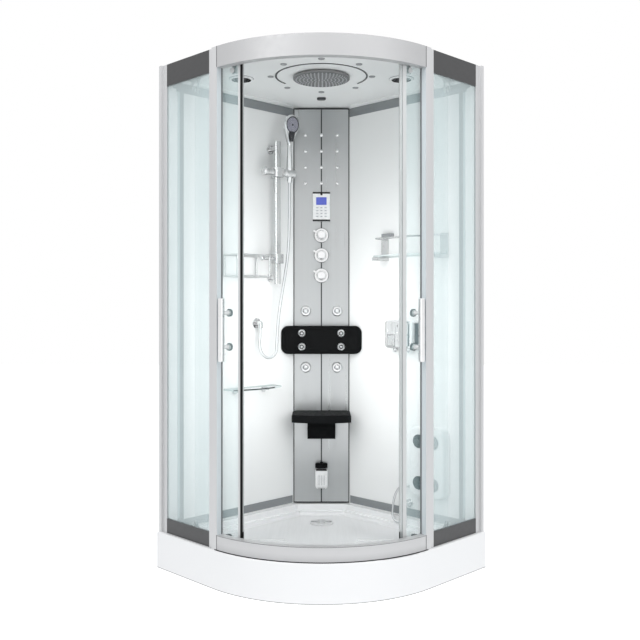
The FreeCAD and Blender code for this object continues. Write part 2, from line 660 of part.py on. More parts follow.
def jet(x, y, z, diameter):
    """Body jet: a domed ring round a recess with a cone nozzle in its middle."""
    r = diameter / 2
    section = [(0, 0), (r, 0), (r, 3), (r - 5, 9), (r * 0.55, 10), (r * 0.45, 5),
               (r * 0.35, 9), (r * 0.18, 11), (0, 11)]
    return turned(section, (x, y, z), "front")


def body_jets():
    solids = [jet(x, COLUMN_Y, z, JET_D) for z in JET_Z for x in (-JET_X, JET_X)]
    y = COLUMN_Y - PAD_PROUD
    solids += [jet(x, y, z, PAD_JET_D) for z in PAD_JET_Z for x in (-PAD_JET_X, PAD_JET_X)]
    return group(solids)


def back_pad():
    """Moulded back rest that follows the column and both walls, with a rolled rim."""
    y0 = COLUMN_Y - SEAT_GAP
    y1 = COLUMN_Y - PAD_PROUD
    crest = y1 - PAD_LIP
    wall_x = COLUMN_FACE - WALL_FACE * ROOT2 - 1.0
    front_x = min(PAD_W / 2, wall_x + PAD_PROUD)
    end_y = y0 - (front_x - wall_x)
    plan = [(-wall_x, y0), (wall_x, y0), (front_x, end_y), (front_x - 4, crest),
            (front_x - PAD_LIP_W, y1), (-front_x + PAD_LIP_W, y1), (-front_x + 4, crest),
            (-front_x, end_y)]
    block = prism(plan, PAD_Z - PAD_H / 2, PAD_Z + PAD_H / 2)
    window = front_slab(rounded(2 * front_x, PAD_H, PAD_CORNER_R), 0, PAD_Z, y0 + 1, crest)
    window = window.makeFillet(PAD_ROUND, face_edges(window, crest))
    holes = [rod(PAD_JET_D / 2 * 0.45, (x, y1 + 4, z), (x, y1 - 4, z))
             for z in PAD_JET_Z for x in (-PAD_JET_X, PAD_JET_X)]
    return cut(block.common(window), holes)


def control_panel():
    """Control box with a recess for its screen."""
    body = front_slab(rounded(CONTROL_W, CONTROL_H, 9), 0, CONTROL_Z, COLUMN_Y,
                      COLUMN_Y - CONTROL_D)
    body = body.makeChamfer(2, face_edges(body, COLUMN_Y - CONTROL_D))
    screen = front_slab(rounded(SCREEN_W, SCREEN_H, 2), 0, SCREEN_Z,
                        COLUMN_Y - CONTROL_D + 1, COLUMN_Y - CONTROL_D - 1)
    return body.cut(screen)


def knob_plates():
    r = KNOB_PLATE_D / 2
    hole = SPINDLE_R + 1.5
    return group([turned([(hole, 0), (r, 0), (r, 3), (r - 4, KNOB_PLATE_T), (hole, KNOB_PLATE_T)],
                         (0, COLUMN_Y, z), "front") for z in KNOB_Z.values()])


def knob(z, pointer):
    """Turning handle with flutes, a pointer lever and a spindle into the valve."""
    y = KNOB_Y - SEAT_GAP
    r = KNOB_D / 2
    body = turned([(0, 0), (r, 0), (r, 4), (r - 3, KNOB_LEN - 4), (r - 7, KNOB_LEN),
                   (0, KNOB_LEN)], (0, y, z), "front")
    flutes = []
    for i in range(KNOB_FLUTES):
        a = 2 * math.pi * (i + 0.5) / KNOB_FLUTES
        x, dz = (r + 1.5) * math.cos(a), (r + 1.5) * math.sin(a)
        flutes.append(rod(3.5, (x, y - 8, z + dz), (x, y - KNOB_LEN - 1, z + dz)))
    lever = rounded(9, 30, 4.4)
    lever.translate(V(0, r + 6, 0))
    lever.rotate(V(0, 0, 0), V(0, 0, 1), pointer)
    lever = front_slab(lever, 0, z, y - 4, y - 12)
    spindle = rod(SPINDLE_R, (0, y, z), (0, VALVE_FRONT_Y + 12, z))
    return fused([cut(body, flutes), lever, spindle])


VALVE_FRONT_Y = COLUMN_Y + PANEL_T + 1.0
VALVE_R = 18.0
VALVE_Y = VALVE_FRONT_Y + VALVE_R + 8.0
MANIFOLD_R = 13.0
MANIFOLD_Z = min(KNOB_Z.values()) - 20.0
INLET_X, INLET_R, INLET_LEN = 42.0, 10.5, 40.0
INLET_COLLAR_R = 14.0
INLET_COLLAR_Y = VALVE_Y + MANIFOLD_R + 4.0
INLET_END_Y = INLET_COLLAR_Y + INLET_LEN


def mixer_valve():
    """Valve behind the column: a manifold with one cartridge per knob and two inlets that
    point to the opening in the back corner."""
    z_low, z_high = MANIFOLD_Z - MANIFOLD_R - 7.0, max(KNOB_Z.values()) + VALVE_R
    parts = [rod(VALVE_R, (0, VALVE_Y, z_low), (0, VALVE_Y, z_high))]
    parts += [rod(MANIFOLD_R + 1, (0, VALVE_FRONT_Y, z), (0, VALVE_Y, z)) for z in KNOB_Z.values()]
    parts.append(rod(MANIFOLD_R, (-INLET_X, VALVE_Y, MANIFOLD_Z), (INLET_X, VALVE_Y, MANIFOLD_Z)))
    for x in (-INLET_X, INLET_X):
        parts.append(rod(INLET_COLLAR_R, (x, VALVE_Y - INLET_COLLAR_R, MANIFOLD_Z),
                         (x, INLET_COLLAR_Y, MANIFOLD_Z)))
        parts.append(rod(INLET_R, (x, INLET_COLLAR_Y, MANIFOLD_Z), (x, INLET_END_Y, MANIFOLD_Z)))
    bores = [rod(SPINDLE_R + TURN_GAP, (0, VALVE_FRONT_Y - 1, z), (0, VALVE_FRONT_Y + 14, z))
             for z in KNOB_Z.values()]
    return cut(fused(parts), bores)


GEN_Z0, GEN_H, GEN_W, GEN_D = 300.0, 380.0, 136.0, 46.0


def steam_generator():
    """Slim boiler behind the column, with its outlet to the steam nozzle."""
    y = COLUMN_Y + PANEL_T + 14.0
    tank = front_slab(rounded(GEN_W, GEN_H, 18), 0, GEN_Z0 + GEN_H / 2, y + GEN_D, y)
    outlet = rod(15, (0, y + 4, STEAM_BOTTOM_Z + STEAM_H / 2),
                 (0, COLUMN_Y, STEAM_BOTTOM_Z + STEAM_H / 2))
    riser = rod(12, (0, y + 18, STEAM_BOTTOM_Z + STEAM_H / 2), (0, y + 18, GEN_Z0 + 8))
    elbow = Part.makeSphere(15, V(0, y + 18, STEAM_BOTTOM_Z + STEAM_H / 2))
    link = rod(15, (0, y + 18, STEAM_BOTTOM_Z + STEAM_H / 2), (0, y + 2, STEAM_BOTTOM_Z + STEAM_H / 2))
    return fused([tank, outlet, riser, elbow, link])


def steam_outlet():
    """Steam nozzle housing: an oblong body with a cup for scent and a slot below."""
    z1 = STEAM_BOTTOM_Z + STEAM_H
    body = front_slab(rounded(STEAM_W, STEAM_H, 20), 0, STEAM_BOTTOM_Z + STEAM_H / 2,
                      COLUMN_Y, COLUMN_Y - STEAM_D)
    body = body.makeChamfer(5, face_edges(body, COLUMN_Y - STEAM_D))
    y = COLUMN_Y - STEAM_D / 2
    seat = box(-STEAM_W / 2 + 4, STEAM_W / 2 - 4, COLUMN_Y - STEAM_D + 3, COLUMN_Y, z1 - 24, z1)
    cup = rod(CUP_R, (0, y, z1 - 16), (0, y, z1 + 1))
    slot = box(-18, 18, COLUMN_Y - STEAM_D - 1, COLUMN_Y - 12, STEAM_BOTTOM_Z - 1,
               STEAM_BOTTOM_Z + 12)
    return fused([body, seat]).cut(cup).cut(slot)


CUP_R = 13.0


def steam_cap():
    """Lift-off cap of the scent cup."""
    z = STEAM_BOTTOM_Z + STEAM_H + SEAT_GAP
    y = COLUMN_Y - STEAM_D / 2
    top = raised(rounded(STEAM_W, STEAM_D - 2, 14), z, z + STEAM_CAP_H)
    top = top.makeChamfer(5, level_edges(top, z + STEAM_CAP_H))
    top.translate(V(0, y - 0.5, 0))
    plug = rod(CUP_R - 0.5, (0, y, z - 10), (0, y, z + 1))
    nib = rod(7, (0, y, z + STEAM_CAP_H - 1), (0, y, z + STEAM_CAP_H + 6))
    return fused([top, plug, nib])


# ---------------------------------------------------------------- folding seat
EAR_T, EAR_X, EAR_R = 10.0, 50.0, 12.0
EAR_SLOT = 2.0


def seat():
    """Folding seat with a bowed front, bored for its hinge pin and slotted for the ears."""
    y0 = SEAT_REAR_Y
    y1 = y0 - SEAT_DEPTH
    half = SEAT_W / 2
    rear = half - 14.0
    bow = y1 + SEAT_BOW
    edges = [Part.LineSegment(V(-rear, y0, SEAT_Z), V(rear, y0, SEAT_Z)).toShape(),
             Part.LineSegment(V(rear, y0, SEAT_Z), V(half, y0 - 30, SEAT_Z)).toShape(),
             Part.LineSegment(V(half, y0 - 30, SEAT_Z), V(half, bow, SEAT_Z)).toShape(),
             Part.Arc(V(half, bow, SEAT_Z), V(0, y1, SEAT_Z), V(-half, bow, SEAT_Z)).toShape(),
             Part.LineSegment(V(-half, bow, SEAT_Z), V(-half, y0 - 30, SEAT_Z)).toShape(),
             Part.LineSegment(V(-half, y0 - 30, SEAT_Z), V(-rear, y0, SEAT_Z)).toShape()]
    slab = Part.Face(Part.Wire(edges)).extrude(V(0, 0, SEAT_T))
    front = [e for e in slab.Edges if abs(e.Vertexes[0].Z - e.Vertexes[-1].Z) > 1
             and e.Vertexes[0].Y < bow + 1]
    slab = slab.makeFillet(24, front)
    slab = slab.makeFillet(7, level_edges(slab, SEAT_TOP_Z))
    tools = [rod(HINGE_PIN_R + TURN_GAP, (-half, HINGE_Y, HINGE_Z), (half, HINGE_Y, HINGE_Z))]
    for x in (-EAR_X, EAR_X):
        x0, x1 = x - EAR_T / 2 - EAR_SLOT, x + EAR_T / 2 + EAR_SLOT
        reach = EAR_R + 4.0
        tools.append(box(x0, x1, HINGE_Y - reach, y0 + 1, SEAT_Z - 1, HINGE_Z + reach))
    return cut(slab, tools)


def seat_bracket():
    """Wall bracket of the seat, with ears, the hinge pin and a rest for the seat."""
    half = BRACKET_W / 2
    z1 = SEAT_Z - 9.0
    front = COLUMN_Y - BRACKET_D
    side = [(COLUMN_Y, z1 - BRACKET_H + 9), (COLUMN_Y, z1), (front, z1), (front, z1 - 30),
            (front + 26, z1 - BRACKET_H + 9)]
    face = Part.Face(Part.makePolygon([V(-half, y, z) for y, z in side + side[:1]]))
    body = face.extrude(V(BRACKET_W, 0, 0))
    rest = box(-half, half, front, HINGE_Y - 27, z1 - 1, SEAT_Z - SEAT_GAP)
    parts = [body, rest]
    for x in (-EAR_X, EAR_X):
        parts.append(box(x - EAR_T / 2, x + EAR_T / 2, HINGE_Y - EAR_R, HINGE_Y + EAR_R,
                         z1 - 1, HINGE_Z))
        parts.append(rod(EAR_R, (x - EAR_T / 2, HINGE_Y, HINGE_Z),
                         (x + EAR_T / 2, HINGE_Y, HINGE_Z)))
    reach = EAR_X + EAR_T / 2 + 20.0
    parts.append(rod(HINGE_PIN_R, (-reach, HINGE_Y, HINGE_Z), (reach, HINGE_Y, HINGE_Z)))
    return fused(parts)


# ---------------------------------------------------------------- roof
ROOF_FLANGE_INSET = INSET + POST_DEPTH + SEAT_GAP
UNIT_Y = CORNER_Y - UNIT_FROM_CORNER
RAIN_Y = CORNER_Y - RAIN_FROM_CORNER


def roof_panel():
    """Ceiling pan, its upstand round the inside of the door rail, and the outer flange."""
    radius = POST_IN_R - SECTION_T - 28.0
    inset = WALL_FACE + SEAT_GAP
    ceiling = raised(basin(inset, radius), CEILING_Z, CEILING_Z + ROOF_T)
    outer = raised(basin(inset, radius), CEILING_Z, WALL_TOP_Z + ROOF_T)
    inner = raised(basin(inset + ROOF_T, radius - ROOF_T), CEILING_Z - 1, WALL_TOP_Z + ROOF_T + 1)
    flange = raised(outline(ROOF_FLANGE_INSET), WALL_TOP_Z, WALL_TOP_Z + ROOF_T).cut(inner)
    roof = on_wall(fused([ceiling, outer.cut(inner), flange]), "right")
    holes = [rod(UNIT_D / 2 + 1, (x, UNIT_Y, CEILING_Z - 9), (x, UNIT_Y, CEILING_Z + 9))
             for x in (-UNIT_X, UNIT_X)]
    holes.append(rod(14, (0, RAIN_Y, CEILING_Z - 9), (0, RAIN_Y, CEILING_Z + 9)))
    return cut(roof, holes)


def rain_head():
    """Flat rain shower with a raised edge and its inlet through the ceiling."""
    r, z = RAIN_D / 2, CEILING_Z
    plate = turned([(0, z - RAIN_T), (r - 4, z - RAIN_T), (r, z - RAIN_T + 3), (r, z - 5),
                    (r - 12, z), (0, z)], (0, RAIN_Y, 0))
    inlet = rod(INLET_R, (0, RAIN_Y, z - 1), (0, RAIN_Y, z + 26))
    nut = rod(20, (0, RAIN_Y, z + ROOF_T), (0, RAIN_Y, z + ROOF_T + 8))
    return fused([plate, inlet, nut])


def grille(x):
    """Round grille under the ceiling: a ring with concentric slots crossed by spokes."""
    z = CEILING_Z
    r = UNIT_RING_D / 2
    ring = turned([(UNIT_D / 2 - 2, z - 6), (r - 3, z - 6), (r, z - 2), (r, z),
                   (UNIT_D / 2 - 2, z)], (x, UNIT_Y, 0))
    hoops = [turned([(q, z - 5), (q + 2.5, z - 5), (q + 2.5, z - 2), (q, z - 2)],
                    (x, UNIT_Y, 0)) for q in (15, 27)]
    spokes = []
    for i in range(2):
        spoke = box(x - UNIT_D / 2 + 1, x + UNIT_D / 2 - 1, UNIT_Y - 1.5, UNIT_Y + 1.5,
                    z - 4, z - 2)
        spoke.rotate(V(x, UNIT_Y, 0), V(0, 0, 1), 90 * i + 45)
        spokes.append(spoke)
    hub = rod(9, (x, UNIT_Y, z - 5), (x, UNIT_Y, z - 1))
    return fused([ring] + hoops + spokes + [hub])


def unit_can(x, top):
    r = UNIT_D / 2 + 8
    z = CEILING_Z + ROOF_T
    return turned([(r - 14, z), (r, z), (r, z + UNIT_H), (0, z + UNIT_H), (0, z + UNIT_H - top),
                   (r - 3, z + UNIT_H - top), (r - 3, z + 3), (r - 14, z + 3)], (x, UNIT_Y, 0))


AXLE_TOP = CEILING_Z + ROOF_T + UNIT_H - 12.0


def fan_housing():
    """Extractor above the ceiling: its can with the motor and shaft, and the grille."""
    motor = rod(14, (-UNIT_X, UNIT_Y, AXLE_TOP), (-UNIT_X, UNIT_Y, AXLE_TOP + 10))
    shaft = rod(2, (-UNIT_X, UNIT_Y, AXLE_TOP - 20), (-UNIT_X, UNIT_Y, AXLE_TOP + 1))
    return group([fused([unit_can(-UNIT_X, 4), motor, shaft]), grille(-UNIT_X)])


def fan_rotor():
    """Axial impeller on the motor's shaft."""
    z = AXLE_TOP - 18
    hub = rod(12, (0, 0, z), (0, 0, z + 17))
    blades = []
    for i in range(FAN_BLADES):
        blade = box(8, 36, -7, 7, -0.9, 0.9)
        blade.rotate(V(0, 0, 0), V(1, 0, 0), 35)
        blade.translate(V(0, 0, z + 8))
        blade.rotate(V(0, 0, 0), V(0, 0, 1), 360.0 / FAN_BLADES * i)
        blades.append(blade)
    rotor = fused([hub] + blades).cut(rod(2 + TURN_GAP, (0, 0, z - 1), (0, 0, z + 18)))
    rotor.translate(V(-UNIT_X, UNIT_Y, 0))
    return rotor


def speaker_unit():
    """Speaker above the ceiling: sealed can with the rim of its cone, and the grille."""
    z = CEILING_Z + ROOF_T
    r = UNIT_D / 2 + 8
    can = turned([(0, z + UNIT_H / 2), (UNIT_D / 2 - 9, z), (r, z), (r, z + UNIT_H), (0, z + UNIT_H)],
                 (UNIT_X, UNIT_Y, 0))
    return group([can, grille(UNIT_X)])


def ceiling_lamps():
    """Oval of small spots, the light arc round the front of the rain head and the sensor."""
    z = CEILING_Z
    solids = []
    for i in range(SPOT_COUNT):
        a = math.radians(360.0 / SPOT_COUNT * i)
        centre = (SPOT_RX * math.sin(a), RAIN_Y - SPOT_RY * math.cos(a), 0)
        r = SPOT_D / 2
        solids.append(turned([(0, z - 3), (r - 2, z - 3), (r, z), (0, z)], centre))
    r0, r1 = LIGHT_RING_R - LIGHT_RING_W / 2, LIGHT_RING_R + LIGHT_RING_W / 2
    pts = [V(r0, 0, z - 2), V(r1, 0, z - 2), V(r1, 0, z), V(r0, 0, z)]
    ring = Part.Face(Part.makePolygon(pts + pts[:1]))
    ring = ring.revolve(V(0, 0, 0), V(0, 0, 1), LIGHT_RING_DEG)
    ring.rotate(V(0, 0, 0), V(0, 0, 1), -90 - LIGHT_RING_DEG / 2)
    ring.translate(V(0, RAIN_Y, 0))
    sensor = raised(rounded(SENSOR_W, SENSOR_D, 13.9), z - SENSOR_T, z)
    sensor = sensor.makeChamfer(3, level_edges(sensor, z - SENSOR_T))
    sensor.translate(V(0, CORNER_Y - SENSOR_FROM_CORNER, 0))
    return group(solids + [ring, sensor])


# ---------------------------------------------------------------- left wall
def stadium(w, o, half_w, half_o, z0, z1):
    """Upright bar with round edges, in wall coordinates."""
    face = rounded(2 * half_w, 2 * half_o, half_o)
    face.translate(V(w, -o, 0))
    return raised(face, z0, z1)


def wall_rod(w, z, r, o0, o1):
    return rod(r, (w, -o0, z), (w, -o1, z))


def slide_bar():
    bar = stadium(BAR_W_POS, BAR_O, BAR_W / 2, BAR_T / 2, BAR_Z0, BAR_Z1)
    parts = [bar]
    for z in (BAR_Z0 + ROSETTE_INSET, BAR_Z1 - ROSETTE_INSET):
        parts.append(wall_rod(BAR_W_POS, z, ROSETTE_D / 2, WALL_FACE, WALL_FACE + 8))
        parts.append(wall_rod(BAR_W_POS, z, 10, WALL_FACE, BAR_O))
    return on_wall(fused(parts), "left")


def clamp_block(z):
    """Block that slides on the bar, with its bore."""
    o0, o1 = BAR_O - SLIDER_D / 2, BAR_O + SLIDER_D / 2
    half = SLIDER_L / 2
    face = rounded(SLIDER_L, SLIDER_D, 10)
    face.translate(V(BAR_W_POS, -(o0 + o1) / 2, 0))
    block = raised(face, z - SLIDER_H / 2, z + SLIDER_H / 2)
    bore = stadium(BAR_W_POS, BAR_O, BAR_W / 2 + SEAT_GAP, BAR_T / 2 + SEAT_GAP,
                   z - SLIDER_H, z + SLIDER_H)
    return block, bore


TILT_PIN_R, TILT_PIN_LEN = 6.0, 20.0


def slider():
    """Slider on the bar: the clamp block, the shoulder and pin that carry the holder barrel,
    and the stud of the clamp knob."""
    block, bore = clamp_block(SLIDER_Z)
    half = SLIDER_L / 2
    inner = BAR_W_POS - half + 10
    end = HOLDER_W_POS + BARREL_BACK + SEAT_GAP
    shoulder = rod(BARREL_D / 2 - 2, (inner, -HOLDER_O, SLIDER_Z), (end, -HOLDER_O, SLIDER_Z))
    pin = rod(TILT_PIN_R, (inner, -HOLDER_O, SLIDER_Z), (end - TILT_PIN_LEN, -HOLDER_O, SLIDER_Z))
    stud = rod(5, (BAR_W_POS + half - 1, -BAR_O, SLIDER_Z), (BAR_W_POS + half + 20, -BAR_O, SLIDER_Z))
    return on_wall(fused([block, shoulder, pin, stud]).cut(bore), "left")


KNOB_START, KNOB_LEN = 3.0, 62.0


def slider_knob():
    """Clamp knob on the stud at the front end of the slider: a grip and a wider rim."""
    w = BAR_W_POS + SLIDER_L / 2 + KNOB_START
    grip = turned([(0, 0), (15, 0), (16, KNOB_LEN - 26), (20, KNOB_LEN - 20), (20, KNOB_LEN - 8),
                   (13, KNOB_LEN), (0, KNOB_LEN)], (0, 0, 0))
    grip.rotate(V(0, 0, 0), V(0, 1, 0), 90)
    grip.translate(V(w, -BAR_O, SLIDER_Z))
    bore = rod(5 + TURN_GAP, (w - 1, -BAR_O, SLIDER_Z), (w + 18, -BAR_O, SLIDER_Z))
    return on_wall(cut(grip, [bore]), "left")


def handset():
    """Hand shower in its holder barrel: hose nut, handle, a neck that widens into the head,
    and the round head with a raised rim round its face."""
    r = HEAD_D / 2
    handle = turned([(0, -44), (9.5, -44), (12, -38), (12, -18), (13.5, -18), (14, 22),
                     (HANDLE_R, NECK_Z + 3), (HANDLE_R - 4, NECK_Z + 20),
                     (0, NECK_Z + 20)], (0, 0, 0))
    z = NECK_Z + NECK_LEN
    neck = cone(HANDLE_R - 1.2, r - 8, (0, 0, NECK_Z), (0, -8, z))
    flat = [V(-r, -HANDLE_R, NECK_Z - 1), V(-r, -HEAD_OUT + 4.5, z + 1), V(-r, 2, z + 1),
            V(-r, HANDLE_R, NECK_Z - 1)]
    flat = Part.Face(Part.makePolygon(flat + flat[:1])).extrude(V(2 * r, 0, 0))
    neck = neck.common(flat)
    head = turned([(0, 1.5), (r - 7, 1.5), (r - 6.5, 0), (r - 2, 0.8), (r, 4), (r, 12),
                   (r - 8, HEAD_T - 5), (r - 22, HEAD_T), (0, HEAD_T)], (0, 0, 0))
    head.rotate(V(0, 0, 0), V(1, 0, 0), HEAD_TILT - 90)
    head.translate(V(0, -HEAD_OUT, HEAD_UP))
    half, edge = BARREL_D / 2, 3.0
    barrel = turned([(0, -BARREL_FRONT), (half - edge, -BARREL_FRONT), (half, edge - BARREL_FRONT),
                     (half, BARREL_BACK - edge), (half - edge, BARREL_BACK), (0, BARREL_BACK)],
                    (0, 0, 0))
    barrel.rotate(V(0, 0, 0), V(0, 1, 0), 90)
    bore = rod(TILT_PIN_R + TURN_GAP, (BARREL_BACK - TILT_PIN_LEN - 1, 0, 0), (BARREL_BACK + 1, 0, 0))
    body = fused([handle, neck, head, barrel]).cut(bore)
    body.translate(V(HOLDER_W_POS, -HOLDER_O, SLIDER_Z))
    return on_wall(body, "left")


def wall_elbow(side, end, radius, plate_r, rise):
    """Wall outlet that points down at the end of a hose."""
    w, o, z = end
    parts = [wall_rod(w, z + rise, plate_r, WALL_FACE, WALL_FACE + 6),
             wall_rod(w, z + rise, radius, WALL_FACE, o),
             Part.makeSphere(radius, V(w, -o, z + rise)),
             rod(radius, (w, -o, z + rise), (w, -o, z))]
    return on_wall(fused(parts), side)


def hose_outlets():
    """Wall elbows of both hoses and the side nipple of the foot massager."""
    w, o, z = FOOT_HOSE[0]
    nipple = rod(8, (w, -o, z), (FOOT_W0, -o, z))
    return group([wall_elbow("left", HANDSET_HOSE[-1], 11, 24, 23),
                  wall_elbow("right", FOOT_HOSE[-1], 8, 18, 16), on_wall(nipple, "right")])


WIRE_R = 4.0


def wire(points):
    """Chain of round bars with ball joints, for racks and rails."""
    bars = [rod(WIRE_R, a, b) for a, b in zip(points, points[1:])]
    balls = [Part.makeSphere(WIRE_R, V(*p)) for p in points[1:-1]]
    return bars + balls


def soap_basket():
    """Soap rack that slides on the bar: a rail frame with a dished floor of bars."""
    block, bore = clamp_block(BASKET_Z)
    half = SLIDER_L / 2
    w0, w1 = BASKET_W0, BASKET_W1
    o0, o1 = WALL_FACE + 14.0, WALL_FACE + 108.0
    top, low = BASKET_Z + 8, BASKET_Z + 8 - BASKET_DROP
    arm = rod(7, (BAR_W_POS + half - 1, -BAR_O, BASKET_Z), (w0, -BAR_O, BASKET_Z))
    tip = Part.makeSphere(11, V(w0, -BAR_O, BASKET_Z))
    rim = [(w0, -o0, top), (w1, -o0, top), (w1, -o1, top), (w0, -o1, top), (w0, -o0, top)]
    base = [(w0, -o0, low), (w1, -o0, low), (w1, -o1, low), (w0, -o1, low), (w0, -o0, low)]
    parts = [block, arm, tip] + wire(rim + [rim[1]])[:-1] + wire(base + [base[1]])[:-1]
    for x, y in ((w0, -o0), (w1, -o0), (w1, -o1), (w0, -o1)):
        parts.append(rod(WIRE_R, (x, y, low), (x, y, top)))
    for i in range(1, BASKET_BARS + 1):
        x = w0 + (w1 - w0) * i / (BASKET_BARS + 1)
        parts.append(rod(2.5, (x, -o1, low), (x, -o0, low)))
    return on_wall(fused(parts).cut(bore), "left")


def bowed_shelf(w0, w1, depth, z, thickness, side):
    """Glass shelf with a bowed front edge."""
    o0 = WALL_FACE + SEAT_GAP
    o1 = o0 + depth
    bow = depth * 0.35
    mid = (w0 + w1) / 2
    edges = [Part.LineSegment(V(w0, -o0, z), V(w1, -o0, z)).toShape(),
             Part.LineSegment(V(w1, -o0, z), V(w1, -o1 + bow, z)).toShape(),
             Part.Arc(V(w1, -o1 + bow, z), V(mid, -o1, z), V(w0, -o1 + bow, z)).toShape(),
             Part.LineSegment(V(w0, -o1 + bow, z), V(w0, -o0, z)).toShape()]
    return on_wall(Part.Face(Part.Wire(edges)).extrude(V(0, 0, thickness)), side)


SHELF_T = 8.0


def shelf_glasses():
    low = bowed_shelf(LOW_SHELF_W0, LOW_SHELF_W1, LOW_SHELF_D, LOW_SHELF_Z, SHELF_T, "left")
    high = bowed_shelf(SHELF_W0, SHELF_W1, SHELF_D, SHELF_Z, SHELF_T, "right")
    return group([low, high])


def shelf_fittings():
    """Clamps under the lower shelf; gallery rail and end brackets of the upper one."""
    solids = []
    for w in (LOW_SHELF_W0 + 60, LOW_SHELF_W1 - 60):
        clamp = fused([box(w - 9, w + 9, -WALL_FACE - 34, -WALL_FACE, LOW_SHELF_Z - 12, LOW_SHELF_Z),
                       wall_rod(w, LOW_SHELF_Z - 8, 14, WALL_FACE, WALL_FACE + 7).common(
                           box(w - 20, w + 20, -WALL_FACE - 9, -WALL_FACE, LOW_SHELF_Z - 30,
                               LOW_SHELF_Z))])
        solids.append(on_wall(clamp, "left"))
    top = SHELF_Z + RAIL_H
    o_rail = WALL_FACE + SHELF_D * 0.62
    for w0 in (SHELF_W0 - SHELF_MARGIN + 1, SHELF_W1 + SHELF_MARGIN - 1 - SHELF_PLATE_W):
        w1 = w0 + SHELF_PLATE_W
        foot = box(w0, w1, -o_rail - 6, -WALL_FACE, SHELF_Z - BRACKET_FOOT_H, SHELF_Z)
        plate = box(w0, w1, -WALL_FACE - 8, -WALL_FACE, SHELF_Z - BRACKET_FOOT_H, top)
        solids.append(on_wall(fused([foot, cut_for_glass(plate)]), "right"))
    rail = wire([(SHELF_W0 + 14, -WALL_FACE - 7, top - 10), (SHELF_W0 + 14, -o_rail, top - 10),
                 (SHELF_W1 - 14, -o_rail, top - 10), (SHELF_W1 - 14, -WALL_FACE - 7, top - 10)])
    solids.append(on_wall(fused(rail), "right"))
    return group(solids)


def cut_for_glass(plate):
    """Slot in an end bracket that holds the shelf's rear edge."""
    slot = box(SHELF_W0 - 50, SHELF_W1 + 50, -WALL_FACE - 60, -WALL_FACE + 1,
               SHELF_Z - SEAT_GAP, SHELF_Z + SHELF_T + SEAT_GAP)
    return plate.cut(slot)


# ---------------------------------------------------------------- right wall
LEVER_W, LEVER_TRAVEL = 44.0, 8.0


def lever_places():
    third = (SOAP_W1 - SOAP_W0) / 4
    return {"left_soap_lever": SOAP_W0 + third, "right_soap_lever": SOAP_W1 - third}


def soap_dispenser():
    """Two soap tanks in one body, with a guide under each for its push lever."""
    o1 = WALL_FACE + SOAP_D
    face = rounded(SOAP_W1 - SOAP_W0, SOAP_Z1 - SOAP_Z0, 14)
    body = face.copy()
    body.rotate(V(0, 0, 0), V(1, 0, 0), 90)
    body.translate(V((SOAP_W0 + SOAP_W1) / 2, -WALL_FACE, (SOAP_Z0 + SOAP_Z1) / 2))
    body = body.extrude(V(0, -SOAP_D, 0))
    body = body.makeFillet(8, face_edges(body, -o1))
    parts = [body]
    for w in lever_places().values():
        parts.append(rod(9, (w, -WALL_FACE - SOAP_D / 2, SOAP_Z0 + 1),
                         (w, -WALL_FACE - SOAP_D / 2, SOAP_Z0 - 12)))
    pockets = [box(w - LEVER_W / 2 - 1, w + LEVER_W / 2 + 1, -o1 - 1, -o1 + LEVER_TRAVEL + 10,
                   SOAP_Z0 + 8, SOAP_Z0 + 62) for w in lever_places().values()]
    guides = [rod(4 + TURN_GAP, (w, -o1 + 30, SOAP_Z0 + 35), (w, -o1, SOAP_Z0 + 35))
              for w in lever_places().values()]
    return on_wall(cut(fused(parts), pockets + guides), "right")


def soap_lever(w):
    """Push button with its stem in the dispenser's guide."""
    o1 = WALL_FACE + SOAP_D
    plate = box(w - LEVER_W / 2, w + LEVER_W / 2, -o1 - 5, -o1 + 5, SOAP_Z0 + 9, SOAP_Z0 + 61)
    plate = plate.makeFillet(4, face_edges(plate, -o1 - 5))
    stem = rod(4, (w, -o1 + 20, SOAP_Z0 + 35), (w, -o1 + 4, SOAP_Z0 + 35))
    return on_wall(fused([plate, stem]), "right")


def foot_massager():
    """Foot massage plate with a rounded face and the outlet of its hose."""
    face = rounded(FOOT_W1 - FOOT_W0, FOOT_Z1 - FOOT_Z0, FOOT_CORNER_R)
    face.rotate(V(0, 0, 0), V(1, 0, 0), 90)
    face.translate(V((FOOT_W0 + FOOT_W1) / 2, -WALL_FACE, (FOOT_Z0 + FOOT_Z1) / 2))
    body = face.extrude(V(0, -FOOT_D, 0))
    body = body.makeFillet(FOOT_EDGE_R, face_edges(body, -WALL_FACE - FOOT_D))
    return on_wall(body, "right")


def massage_discs():
    """Rubber massage discs: a rounded disc with a ring of nubs and a middle nub."""
    o = WALL_FACE + FOOT_D
    mid_w, mid_z = (FOOT_W0 + FOOT_W1) / 2, (FOOT_Z0 + FOOT_Z1) / 2
    solids = []
    r = DISC_D / 2
    for side_w in (-0.5, 0.5):
        for side_z in (-0.5, 0.5):
            disc = turned([(0, 0), (r, 0), (r, 4), (r - 4, 7), (0, 7)], (0, 0, 0), "front")
            nubs = [cone(5, 3.5, (19 * math.cos(2 * math.pi * i / DISC_NUBS), -6,
                                  19 * math.sin(2 * math.pi * i / DISC_NUBS)),
                         (19 * math.cos(2 * math.pi * i / DISC_NUBS), -DISC_T,
                          19 * math.sin(2 * math.pi * i / DISC_NUBS))) for i in range(DISC_NUBS)]
            nubs.append(cone(6, 4, (0, -6, 0), (0, -DISC_T, 0)))
            disc = fused([disc] + nubs)
            disc.translate(V(mid_w + side_w * DISC_PITCH_W, -o, mid_z + side_z * DISC_PITCH_Z))
            solids.append(on_wall(disc, "right"))
    return group(solids)


